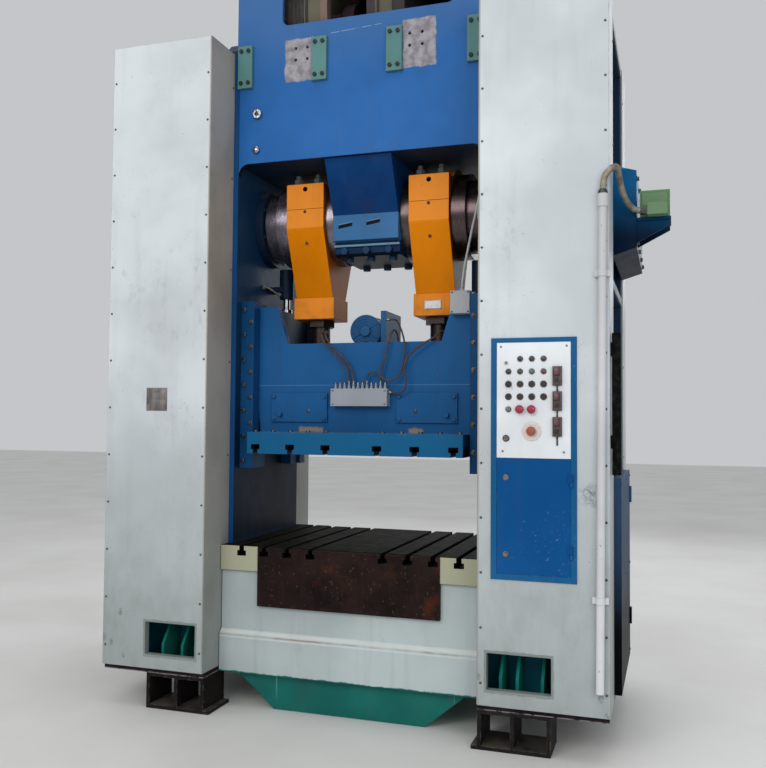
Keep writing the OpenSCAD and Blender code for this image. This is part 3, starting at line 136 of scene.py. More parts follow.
class Shade:
    """Builds one material's nodes. Patterns use object coordinates, so they keep their real size."""

    def __init__(self, name, colour=None):
        self.material = bpy.data.materials.new(name)
        self.material.use_nodes = True
        self.tree = self.material.node_tree
        self.tree.nodes.clear()
        self.shader = self.add("ShaderNodeBsdfPrincipled")
        self.add("ShaderNodeOutputMaterial", {"Surface": self.shader.outputs[0]})
        self.place = self.add("ShaderNodeTexCoord").outputs["Object"]
        self.x, self.y, self.z = self.add("ShaderNodeSeparateXYZ", {0: self.place}).outputs
        self.normal = self.add("ShaderNodeNewGeometry").outputs["Normal"]
        self.nx, self.ny, self.nz = self.add("ShaderNodeSeparateXYZ", {0: self.normal}).outputs
        self.rounded = None
        self.tone = srgb(*colour) if colour else None

    def add(self, kind, values=None, **settings):
        """A node with its settings, and with values or links on its inputs."""
        node = self.tree.nodes.new(kind)
        for key, value in settings.items():
            setattr(node, key, value)
        for key, value in (values or {}).items():
            self.link(value, node.inputs[key])
        return node

    def link(self, value, socket):
        if isinstance(value, bpy.types.NodeSocket):
            self.tree.links.new(value, socket)
        else:
            socket.default_value = value

    def math(self, operation, *values):
        return self.add("ShaderNodeMath", dict(enumerate(values)), operation=operation).outputs[0]

    def abs(self, value):
        return self.math("ABSOLUTE", value)

    def either(self, a, b):
        return self.math("MAXIMUM", a, b)

    def times(self, *values):
        result = values[0]
        for value in values[1:]:
            result = self.math("MULTIPLY", result, value)
        return result

    def noise(self, scale, stretch=(1, 1, 1), detail=3.0, roughness=0.55, shift=0.0):
        spot = self.add("ShaderNodeMapping", {"Vector": self.place, "Scale": stretch,
                                              "Location": (shift, shift * 0.7, shift * 1.3)})
        return self.add("ShaderNodeTexNoise", {"Vector": spot.outputs[0], "Scale": scale, "Detail": detail,
                                               "Roughness": roughness}).outputs["Fac"]

    def swing(self, *pattern, **more):
        """Noise centred on 0."""
        return self.math("SUBTRACT", self.noise(*pattern, **more), 0.5)

    def wander(self, value, size, *pattern, **more):
        """value, moved to and fro by noise of that size."""
        return self.math("MULTIPLY_ADD", self.swing(*pattern, **more), size, value)

    def uneven(self, base, size, *pattern, **more):
        """base, raised by up to size."""
        return self.math("MULTIPLY_ADD", self.noise(*pattern, **more), size, base)

    def blots(self, low, high, *pattern, **more):
        """Mask of the places where noise is above high, 0 where it is below low."""
        return self.band(self.noise(*pattern, **more), low, high)

    def band(self, value, low, high):
        """0 below low and 1 above high, smooth between. low may be the larger of the two."""
        ends = (low, high, 0, 1) if low < high else (high, low, 1, 0)
        values = dict(zip(("From Min", "From Max", "To Min", "To Max"), ends), Value=value)
        return self.add("ShaderNodeMapRange", values, interpolation_type="SMOOTHSTEP").outputs[0]

    def inside(self, value, low, high, soft=0.003):
        return self.times(self.band(value, low - soft, low + soft),
                          self.band(value, high + soft, high - soft))

    def rect(self, x, z, soft, wobble):
        """Mask of a rectangle on a front face, with an edge as ragged as wobble."""
        rough = self.swing(22, detail=5)
        px = self.math("MULTIPLY_ADD", rough, wobble, self.x)
        pz = self.math("MULTIPLY_ADD", rough, wobble, self.z)
        return self.times(self.inside(px, *x, soft), self.inside(pz, *z, soft))

    def disc(self, x, z, low, high, squash=1.0, across=None):
        """1 within low metres of a point on a front face, 0 beyond high. across stands in for X."""
        dx = self.math("SUBTRACT", self.x if across is None else across, x)
        dz = self.times(self.math("SUBTRACT", self.z, z), squash)
        far = self.math("SQRT", self.math("ADD", self.times(dx, dx), self.times(dz, dz)))
        return self.band(far, high, low)

    def edges(self, width):
        """Mask of the edges, from a bevel's normal, which also rounds the shading."""
        self.rounded = self.add("ShaderNodeBevel", {"Radius": width}, samples=4).outputs[0]
        dot = self.add("ShaderNodeVectorMath", {0: self.rounded, 1: self.normal}, operation="DOT_PRODUCT")
        return self.band(dot.outputs["Value"], 0.985, 0.86)

    def mix(self, factor, a, b):
        return self.add("ShaderNodeMix", {0: factor, 6: a, 7: b}, data_type="RGBA").outputs[2]

    def mottle(self, dark, light, low, high, *pattern, **more):
        """Two colours in blots."""
        return self.mix(self.blots(low, high, *pattern, **more), srgb(*dark), srgb(*light))

    def coat(self, colour, *masks):
        """Lays a colour over the tone where all masks are 1. A number among them thins it."""
        if isinstance(colour, tuple):
            colour = srgb(*colour)
        self.tone = self.mix(self.times(*masks), self.tone, colour)

    def finish(self, roughness, metallic, relief, depth, strength, **more):
        """Joins the tone and the rest to the shader. relief is a pattern, depth its height in metres."""
        bump = self.add("ShaderNodeBump", {"Strength": strength, "Distance": depth, "Height": relief})
        if self.rounded is not None:
            self.link(self.rounded, bump.inputs["Normal"])
        sockets = self.shader.inputs
        self.link(self.tone, sockets["Base Color"])
        self.link(roughness, sockets["Roughness"])
        self.link(metallic, sockets["Metallic"])
        self.link(bump.outputs[0], sockets["Normal"])
        for key, value in more.items():
            sockets[key.replace("_", " ")].default_value = value
        return self.material


def scaled(tone, factor, lift=0.0):
    """A linear colour made darker or lighter."""
    return tuple(min(1, v * factor + lift) for v in tone[:3]) + (1,)


def paint(name, colour, shine=0.42, dirt=0.35, chips=0.5, streaks=0.35, wear=0.6, under=(58, 52, 48),
          grime=(74, 66, 54), zone=None, edge=0.006, dusty=0.25, foot=0.0, gleam=0.1):
    """Sprayed machine paint: uneven colour, drips, grime, painted shade that darkens it from the height
    foot down to the floor with splashes of grime over it, dust on top faces and chips along edges. zone is a
    function that coats the shade with marks of one place."""
    s = Shade(name, colour)
    s.tone = s.mix(s.blots(0.35, 0.68, 1.1, detail=4), scaled(s.tone, 0.84), scaled(s.tone, 1.10, 0.004))
    if zone:
        zone(s)
    s.coat(grime, s.blots(0.52, 0.78, 7, (2.2, 2.2, 0.16), detail=5, shift=3.1), streaks * 0.5)
    patches = s.blots(0.54, 0.80, 2.6, detail=7, roughness=0.68, shift=1.7)
    s.coat(grime, patches, dirt * 0.55)
    if foot:
        # Painted shade: the paint darkens from the height foot down to the floor; the blotchy coat after it
        # is splashed grime.
        low = s.band(s.z, foot, 0.05)
        s.coat((146, 155, 154), low, 0.8)
        s.coat((122, 120, 108), low, s.blots(0.36, 0.72, 5, (1, 1, 0.5), detail=7, roughness=0.7), 0.4)
    if dusty:
        s.coat((150, 142, 126), s.band(s.nz, 0.6, 0.95), s.blots(0.25, 0.6, 5, detail=6), dusty)
    specks = s.times(s.blots(0.665, 0.70, 85, detail=2), s.blots(0.50, 0.66, 3.7, detail=3, shift=5))
    rub = s.times(s.edges(edge), s.blots(0.60 - 0.22 * wear, 0.72, 30, detail=5, shift=2))
    bare = s.either(s.times(specks, chips), s.times(rub, wear))
    s.coat(under, bare)
    gloss = s.uneven(shine - 0.08, 0.20, 11, detail=5)
    gloss = s.math("ADD", gloss, s.times(patches, 0.22 * dirt))
    waves = s.math("ADD", s.noise(1.8, detail=2), s.times(s.noise(260, detail=2), 0.05))
    relief = s.math("SUBTRACT", waves, s.times(bare, 0.12))
    return s.finish(gloss, 0.0, relief, 0.006, 0.35, Specular_IOR_Level=gleam)


def machined(name, colour, rough=0.34, metal=0.85, lines=(1, 1, 1), rust=0.3, rust_colour=(70, 42, 30),
             zone=None):
    """Turned or milled steel with tool lines, oil film and rust bloom."""
    s = Shade(name, colour)
    if zone:
        zone(s)
    fine = s.noise(60, lines, detail=3)
    s.coat((0, 0, 0), s.math("SUBTRACT", 0.5, s.times(s.band(fine, 0.3, 0.7), 0.5)))
    s.coat((26, 21, 18), s.blots(0.42, 0.7, 4.5, detail=6, roughness=0.65, shift=4), 0.3)
    bloom = s.blots(0.52, 0.74, 8, detail=8, roughness=0.72, shift=9)
    s.coat(rust_colour, bloom, rust)
    s.coat((150, 148, 146), s.edges(0.004), 0.35)
    gloss = s.math("MULTIPLY_ADD", fine, 0.16, rough - 0.08)
    gloss = s.math("ADD", gloss, s.times(bloom, 0.35 * rust))
    shine = s.math("SUBTRACT", metal, s.times(bloom, rust * 0.8))
    return s.finish(gloss, shine, s.math("ADD", fine, s.times(bloom, 0.8)), 0.0008, 0.3)


def plastic(name, colour, rough=0.35, **more):
    s = Shade(name, colour)
    s.tone = s.mix(s.times(s.blots(0.42, 0.72, 40, detail=5), 0.6), s.tone, scaled(s.tone, 0.75, 0.02))
    s.edges(0.0012)
    return s.finish(s.uneven(rough - 0.06, 0.18, 120, detail=3), 0.0, s.noise(900, detail=2), 0.0003, 0.3,
                    **more)


def rubber(name, colour, rough=0.62):
    s = Shade(name, colour)
    s.tone = s.mix(s.times(s.blots(0.42, 0.75, 26, detail=6), 0.6), s.tone, scaled(s.tone, 0.6, 0.05))
    return s.finish(s.uneven(rough - 0.1, 0.25, 70, detail=4), 0.0, s.noise(500, detail=3), 0.0004, 0.35)


# Marks: where one node carries more than one paint, wear that belongs to one place, and painted light and
# shade

def cover_marks(s):
    """Warm older paint on the throat side, darkened there as painted shade, green window rims, hand marks,
    one rubbed patch and some chips.
    """
    front = (s.y, -0.60, -0.68)
    # The throat side: warmer older paint, made darker than the front as painted shade.
    throat = s.band(s.abs(s.x), COVER_X[0] + 0.012, COVER_X[0] + 0.004)
    s.coat(s.mottle((138, 132, 122), (166, 160, 150), 0.35, 0.65, 1.5, detail=5, shift=12), throat, 0.92)
    smudge = s.blots(0.52, 0.68, 16, (1, 1, 0.6), detail=8, roughness=0.75)
    s.coat((120, 122, 128), smudge, s.blots(0.44, 0.6, 1.6, detail=2, shift=8),
           s.inside(s.z, 1.3, 2.9, 0.5), 0.22)
    patch = s.disc(1.262, 1.212, 0.020, 0.075)
    s.coat((88, 92, 108), patch, s.blots(0.42, 0.60, 48, detail=6, roughness=0.8), s.band(*front), 0.85)
    rough = s.times(s.swing(35, detail=4), 0.012)
    across, up = s.math("ADD", s.abs(s.x), rough), s.math("ADD", s.z, rough)
    rim = s.mottle((34, 58, 48), (66, 96, 80), 0.3, 0.7, 14, detail=5)
    s.coat(rim, s.inside(across, *WINDOW_X, 0.002), s.inside(up, *WINDOW_Z, 0.002), 0.95)
    chipped = s.blots(0.38, 0.50, 60, detail=4, roughness=0.7)
    chips = ((-1.237, 0.500, 0.012), (-1.290, 0.335, 0.010), (-1.212, 0.268, 0.010), (-1.338, 0.36, 0.014),
             (0.742, 0.345, 0.010), (1.302, 0.300, 0.013), (1.330, 0.222, 0.012))
    for x, z, r in chips:
        s.coat((40, 48, 46), s.disc(x, z, r * 0.7, r * 1.3, 0.6), chipped, s.band(*front), 0.9)


def bed_marks(s):
    """Teal belly below the white band, with a ragged brush edge between them, a worn seam above, and a
    painted highlight along the step's chamfer on either side of the seam.
    """
    belly_top = 0.194
    rough = s.swing(13, detail=6, roughness=0.7)
    level = s.math("MULTIPLY_ADD", rough, 0.030, s.z)
    runs = s.blots(0.70, 0.74, 24, (1, 1, 0.05), detail=2, shift=2)
    drips = s.times(s.band(s.z, 0.02, 0.19), runs, 0.55)
    belly = s.mottle((8, 94, 88), (14, 112, 102), 0.35, 0.7, 3, detail=4)
    s.coat(s.mix(drips, belly, srgb(120, 168, 160)), s.band(level, belly_top + 0.002, belly_top - 0.002))
    # Painted highlight: two light bands on the step's chamfer, above and below the seam.
    edge = s.either(s.inside(s.z, 0.393, 0.412, 0.006), s.times(s.inside(s.z, 0.372, 0.381, 0.004), 0.8))
    s.coat((214, 219, 214), edge, 0.75)
    seam = s.inside(s.math("MULTIPLY_ADD", rough, 0.016, s.z), 0.383, 0.390, 0.003)
    s.coat((138, 112, 88), seam, s.blots(0.40, 0.62, 6, detail=6, shift=4), 0.75)


def crown_marks(s):
    """A greyer top, a deep blue bearing block, painted shade on the underside and in the pockets at the ends
    of the throat, two bare primer patches and a scratch.
    """
    block_side, throat_top = 0.195, 2.990
    s.coat((74, 110, 156), s.band(s.wander(s.z, 0.5, 1.3, detail=5), 3.35, 3.95), 0.6)
    block = s.mottle((0, 46, 100), (6, 66, 124), 0.3, 0.7, 3, detail=4)
    s.coat(block, s.band(s.z, throat_top, throat_top - 0.010), s.inside(s.x, -block_side, block_side, 0.002))
    # Painted shade: the underside and the pockets at the ends of the throat are darkened where the crown
    # shades them.
    under = s.times(s.band(s.nz, -0.4, -0.8), s.band(s.z, 3.02, 2.99))
    recess = s.times(s.band(s.z, 2.992, 2.984), s.band(s.abs(s.x), 0.62, 0.64),
                     s.band(s.y, FRAME_FRONT + 0.001, FRAME_FRONT + 0.003))
    s.coat(s.mottle((14, 18, 24), (30, 34, 40), 0.35, 0.7, 4, detail=6),
           s.either(s.times(under, 0.92), recess))
    plates = s.band(s.abs(s.y), -FRAME_FRONT - 0.004, -FRAME_FRONT - 0.030)
    s.coat((34, 40, 50), s.band(s.z, 3.66, 3.70), plates, 0.8)
    primer = s.mottle((128, 124, 132), (162, 158, 164), 0.35, 0.65, 26, detail=6)
    for x, z in (((-0.420, -0.256), (3.424, 3.665)), ((0.263, 0.445), (3.424, 3.687))):
        s.coat(primer, s.rect(x, z, 0.004, 0.03), s.band(s.y, FRAME_FRONT + 0.02, FRAME_FRONT + 0.006))
    line = s.math("MULTIPLY_ADD", s.math("SUBTRACT", s.x, -0.16), -0.05, s.z)
    scratch = s.times(s.inside(line, 3.668, 3.671, 0.0008), s.inside(s.x, -0.16, 0.14, 0.01))
    s.coat((170, 186, 200), scratch, s.blots(0.40, 0.52, 40, detail=3), 0.6)


def drive_marks(s):
    """The grey terminal box beside the adjusting motor."""
    s.coat((170, 172, 176), s.band(s.x, 0.500, 0.504), s.band(s.y, -0.2945, -0.2955),
           s.band(s.z, 2.110, 2.112))


def slot_walls(s, colour, *heights):
    """Painted shade in slots that run along Y: darkens the faces at these heights that look to neither end.
    """
    s.coat(colour, *heights, s.band(s.abs(s.ny), 0.5, 0.4), 0.9)


def slide_marks(s):
    """A brighter lower plate, primer on its ledge, a painted highlight along a seam line, a darker inside as
    painted shade, right sides made pale as painted light, and painted shade in the slots.
    """
    front, above_plate = (s.y, SLIDE_FRONT + 0.005, SLIDE_FRONT + 0.001), (s.z, 1.50, 1.54)
    s.coat((14, 94, 134), s.band(s.z, 1.486, 1.480), 0.7)
    ledge = s.times(s.band(s.nz, 0.7, 0.95), s.band(s.z, 1.60, 1.50))
    s.coat((112, 96, 84), ledge, s.blots(0.44, 0.62, 14, detail=7), 0.8)
    for x in ((-0.371, -0.227), (0.271, 0.350)):
        s.coat((150, 132, 104), s.rect(x, (1.484, 1.512), 0.008, 0.03), s.band(*front), 0.8)
    # Painted highlight: a thin light line along the seam above the access plates.
    s.coat((96, 140, 178), s.inside(s.z, 1.742, 1.746, 0.002), s.band(*front), 0.45)
    # Painted shade: darker inside, behind the front wall, unevenly.
    inside = s.times(s.band(s.abs(s.y), 0.2580, 0.2560), s.band(*above_plate))
    s.coat((24, 32, 38), inside, s.blots(0.0, 0.5, 3, detail=6, shift=7), 0.85)
    # Painted light: the side faces on the right made paler.
    side = s.times(s.band(s.abs(s.nx), 0.7, 0.9), s.band(s.x, 0.3, 0.45), s.band(*above_plate))
    s.coat((88, 122, 156), side, s.band(s.abs(s.y), 0.2945, 0.2900), 0.8)
    slot_walls(s, (20, 20, 22), s.band(s.z, 1.4165, 1.4155))


def upright_marks(s):
    """Green foot gussets over a black base plate, white outer faces, inner faces darkened as painted shade,
    near black low down, and painted shade where the uprights run behind the covers.
    """
    sole_top = 0.2125
    s.coat((16, 122, 112), s.band(s.z, 0.50, 0.48), s.band(s.abs(s.y), 0.433, 0.437))
    s.coat((176, 182, 184), s.band(s.abs(s.x), 1.331, 1.334), s.band(s.z, 1.24, 1.28))
    black = s.mottle((14, 10, 16), (36, 28, 34), 0.35, 0.7, 18, detail=6)
    s.coat(black, s.band(s.z, sole_top + 0.001, sole_top - 0.001))
    s.coat((150, 146, 146), s.inside(s.z, 0.184, 0.1915, 0.001), s.blots(0.36, 0.52, 26, detail=6, shift=3),
           0.8)
    # Painted shade on the throat's inner faces: near black low down, dark blue higher up.
    level = s.wander(s.z, 1.4, 2.2, (1, 1, 0.4), detail=6)
    inner_face_shade = s.mix(s.band(level, 0.9, 2.2), srgb(2, 4, 8), srgb(18, 50, 78))
    s.coat(inner_face_shade, s.band(s.abs(s.x), 0.704, 0.7015), s.band(s.z, 0.80, 0.90), 0.9)
    # Painted shade where the uprights run behind the covers.
    s.coat((30, 40, 50), s.band(s.abs(s.y), 0.4075, 0.4060), s.band(s.abs(s.x), 0.7335, 0.7345), 0.7)


def bolster_marks(s):
    """White end blocks at the front and rear, and painted shade in the slots."""
    ends = s.times(s.band(s.abs(s.x), 0.5045, 0.5055), s.band(s.abs(s.y), 0.503, 0.504))
    s.coat((170, 170, 146), ends, s.band(s.abs(s.ny), 0.6, 0.9))
    slot_walls(s, (14, 13, 12), s.inside(s.z, 0.80, 0.8640, 0.0006))


def cap_marks(s):
    """Dark lower block under a ledge lightened as a painted highlight, blue bolts, painted shade on the faces
    that look down, and two slots on the bearing cap's front painted in as shade, each with a painted
    highlight along its upper lip.
    """
    lower = s.mottle((10, 32, 60), (22, 54, 84), 0.35, 0.7, 6, detail=6)
    s.coat(lower, s.band(s.z, 2.5535, 2.5525), 0.95)
    # Painted highlight along the ledge.
    s.coat((116, 150, 176), s.inside(s.z, 2.5235, 2.5365, 0.0006), s.band(s.y, -0.2255, -0.2265), 0.9)
    bolts = s.times(s.band(s.y, -0.2262, -0.2272), s.band(s.z, 2.5225, 2.5215))
    s.coat((32, 62, 94), s.either(bolts, s.band(s.z, 2.4715, 2.4705)), 0.9)
    # Painted shade on the faces that look down.
    s.coat((8, 12, 20), s.band(s.nz, -0.3, -0.7), s.band(s.z, 2.56, 2.55), 0.9)
    front = s.band(s.y, -0.255, -0.261)
    # Each slot: painted shade in it and a painted highlight along its upper lip.
    for x0, x1, z in ((-0.160, -0.077, 2.640), (0.005, 0.086, 2.650)):
        slant = s.math("MULTIPLY_ADD", s.math("SUBTRACT", s.x, (x0 + x1) / 2), -0.16, s.z)
        across = s.inside(s.x, x0, x1, 0.003)
        s.coat((4, 8, 16), across, s.inside(slant, z - 0.010, z + 0.010, 0.002), front)
        s.coat((120, 156, 186), across, s.inside(slant, z + 0.011, z + 0.015, 0.001), front, 0.6)


def pitman_marks(s):
    """Caps and feet made paler as painted light, painted shade in brown on the sides, steel studs, the split
    line, lifting holes darkened as painted shade, and runs of oil.
    """
    # Painted light: the caps and feet, which face the lamps, made paler than the shank.
    pale = s.either(s.band(s.wander(s.z, 0.06, 5, detail=5, shift=6), 2.630, 2.650),
                    s.band(s.z, 2.262, 2.258))
    s.coat((250, 158, 72), pale, 0.45)
    # Painted shade on the sides.
    s.coat((118, 56, 4), s.band(s.abs(s.nx), 0.6, 0.9), 0.8)
    s.coat((70, 92, 98), s.band(s.z, 2.8955, 2.8965), s.band(s.abs(s.y), 0.1845, 0.1855), 0.95)
    s.coat((60, 36, 12), s.inside(s.z, SPLIT_Z - 0.0012, SPLIT_Z + 0.0012, 0.0006), 0.9)
    # Painted shade in the lifting holes.
    hole = s.disc(PITMAN_X, 2.865, 0.0137, 0.0142, across=s.abs(s.x))
    s.coat((14, 10, 8), hole, s.band(s.y, -0.2646, -0.2640), s.band(s.y, 0.0, -0.1), 0.95)
    s.coat((120, 66, 10), s.band(s.z, 2.30, 2.20), s.blots(0.4, 0.7, 7, detail=6, shift=2), 0.35)


def housing_marks(s):
    """Blue at the top, navy painted shade below, and a painted highlight along the upper edge."""
    # Painted shade: navy below.
    s.coat((6, 26, 48), s.band(s.wander(s.z, 0.12, 3, detail=4), 2.74, 2.44))
    # Painted highlight along the upper edge.
    s.coat((84, 150, 190), s.band(s.z, 2.795, 2.800), s.band(s.y, -0.38, -0.40), 0.6)


def side_marks(s):
    """Greyish blue at the top, darkening to nearly black at the floor as painted shade."""
    s.coat((14, 15, 18), s.band(s.wander(s.z, 0.3, 2.5, detail=5), 1.25, 0.45))


def crank_marks(s):
    """Lighter discs on the left as painted light, browner and darker ones on the right as painted shade."""
    s.coat((164, 156, 170), s.band(s.x, -0.1, -0.3))
    s.coat((96, 80, 82), s.band(s.x, 0.1, 0.3))


def bracket_marks(s):
    """Rusty bolts on the green bracket plates."""
    s.coat((44, 46, 42), s.band(s.y, -0.4555, -0.4565), 0.95)


def drum_bands(s):
    """Dark, pinkish and dark purple bands round the flywheel and the clutch drum."""
    along = s.wander(s.x, 0.01, 9, detail=5)
    for low, high, colour in ((-0.475, -0.36, (48, 40, 38)), (-0.24, -0.198, (128, 104, 96)),
                              (-0.198, 0.07, (58, 44, 56)), (0.16, 0.245, (46, 42, 46))):
        s.coat(colour, s.inside(along, low, high, 0.004), 0.85)


def rusty_plate(name):
    """Rust over old scale, with pale grit, a bare lower edge and painted shade in the slots."""
    s = Shade(name)
    s.tone = s.mottle((20, 14, 12), (42, 29, 26), 0.3, 0.7, 5, detail=8, roughness=0.7)
    s.coat((60, 44, 38), s.blots(0.55, 0.75, 34, (1.4, 1, 0.3), detail=5), 0.3)
    s.coat((78, 38, 20), s.blots(0.56, 0.7, 5, detail=6, shift=6), 0.7)
    s.coat((86, 70, 60), s.blots(0.62, 0.70, 60, detail=4, shift=2), 0.5)
    s.coat((150, 140, 120), s.inside(s.z, 0.5035, 0.5105, 0.001), s.blots(0.40, 0.56, 20, detail=6), 0.6)
    slot_walls(s, (12, 10, 10), s.band(s.z, 0.8115, 0.8125))
    s.coat((84, 68, 56), s.edges(0.004), 0.4)
    return s.finish(s.uneven(0.48, 0.3, 14, detail=6), 0.05, s.noise(55, detail=7, roughness=0.7), 0.002, 0.5,
                    Specular_IOR_Level=0.08)


def bolster_steel(name):
    """Oiled dark steel, milled along Y."""
    s = Shade(name)
    s.tone = s.mottle((13, 14, 10), (30, 28, 20), 0.3, 0.7, 30, (1, 0.06, 1), detail=5)
    s.coat((36, 30, 20), s.blots(0.46, 0.7, 4, detail=8, roughness=0.7), 0.7)
    s.coat((62, 58, 46), s.edges(0.004), 0.4)
    bolster_marks(s)
    return s.finish(s.uneven(0.46, 0.3, 18, detail=6), 0.0, s.noise(70, (1, 0.2, 1), detail=6), 0.001, 0.4,
                    Specular_IOR_Level=0.02)


def gear_steel(name):
    """Greased steel with bright tooth edges."""
    s = Shade(name)
    s.tone = s.mottle((52, 48, 46), (96, 92, 90), 0.3, 0.7, 12, detail=6)
    grease = s.blots(0.42, 0.62, 6, detail=6, shift=3)
    s.coat((38, 26, 16), grease, 0.7)
    s.coat((170, 168, 164), s.edges(0.003), 0.5)
    return s.finish(s.math("MULTIPLY_ADD", grease, -0.18, 0.42), 0.8, s.noise(90, detail=4), 0.0006, 0.3)


def corrugated(name):
    """Dull flexible metal conduit with grime in its grooves."""
    s = Shade(name)
    s.tone = s.mottle((104, 98, 88), (160, 152, 136), 0.3, 0.7, 24, detail=5)
    s.coat((190, 184, 170), s.edges(0.0015), 0.4)
    return s.finish(s.uneven(0.35, 0.2, 60, detail=4), 0.55, s.noise(200), 0.0004, 0.3)


def lens(name, colour):
    """Ribbed lamp lens, unlit."""
    s = Shade(name, colour)
    s.tone = s.mix(s.blots(0.35, 0.7, 90, detail=3), s.tone, scaled(s.tone, 0.6))
    ribs = s.math("SINE", s.times(s.z, 2600.0))
    return s.finish(0.14, 0.0, ribs, 0.0003, 0.4, Coat_Weight=0.5, Coat_Roughness=0.05,
                    Transmission_Weight=0.15)


def plate_metal(name):
    """Blank rating-plate place: dull etched aluminium, no print."""
    s = Shade(name)
    s.tone = s.mottle((96, 92, 92), (142, 138, 136), 0.3, 0.7, 30, (1, 1, 0.2), detail=4)
    s.coat((70, 58, 54), s.blots(0.52, 0.7, 14, detail=6), 0.6)
    s.edges(0.001)
    return s.finish(s.uneven(0.35, 0.25, 70), 0.6, s.noise(300), 0.0003, 0.3)


def floor_material():
    """Pale, smooth floor."""
    s = Shade("pale_floor")
    s.tone = s.mottle((214, 212, 208), (224, 223, 220), 0.3, 0.7, 0.8, detail=5)
    return s.finish(s.uneven(0.5, 0.15, 3, detail=4), 0.0, s.noise(60), 0.001, 0.1)


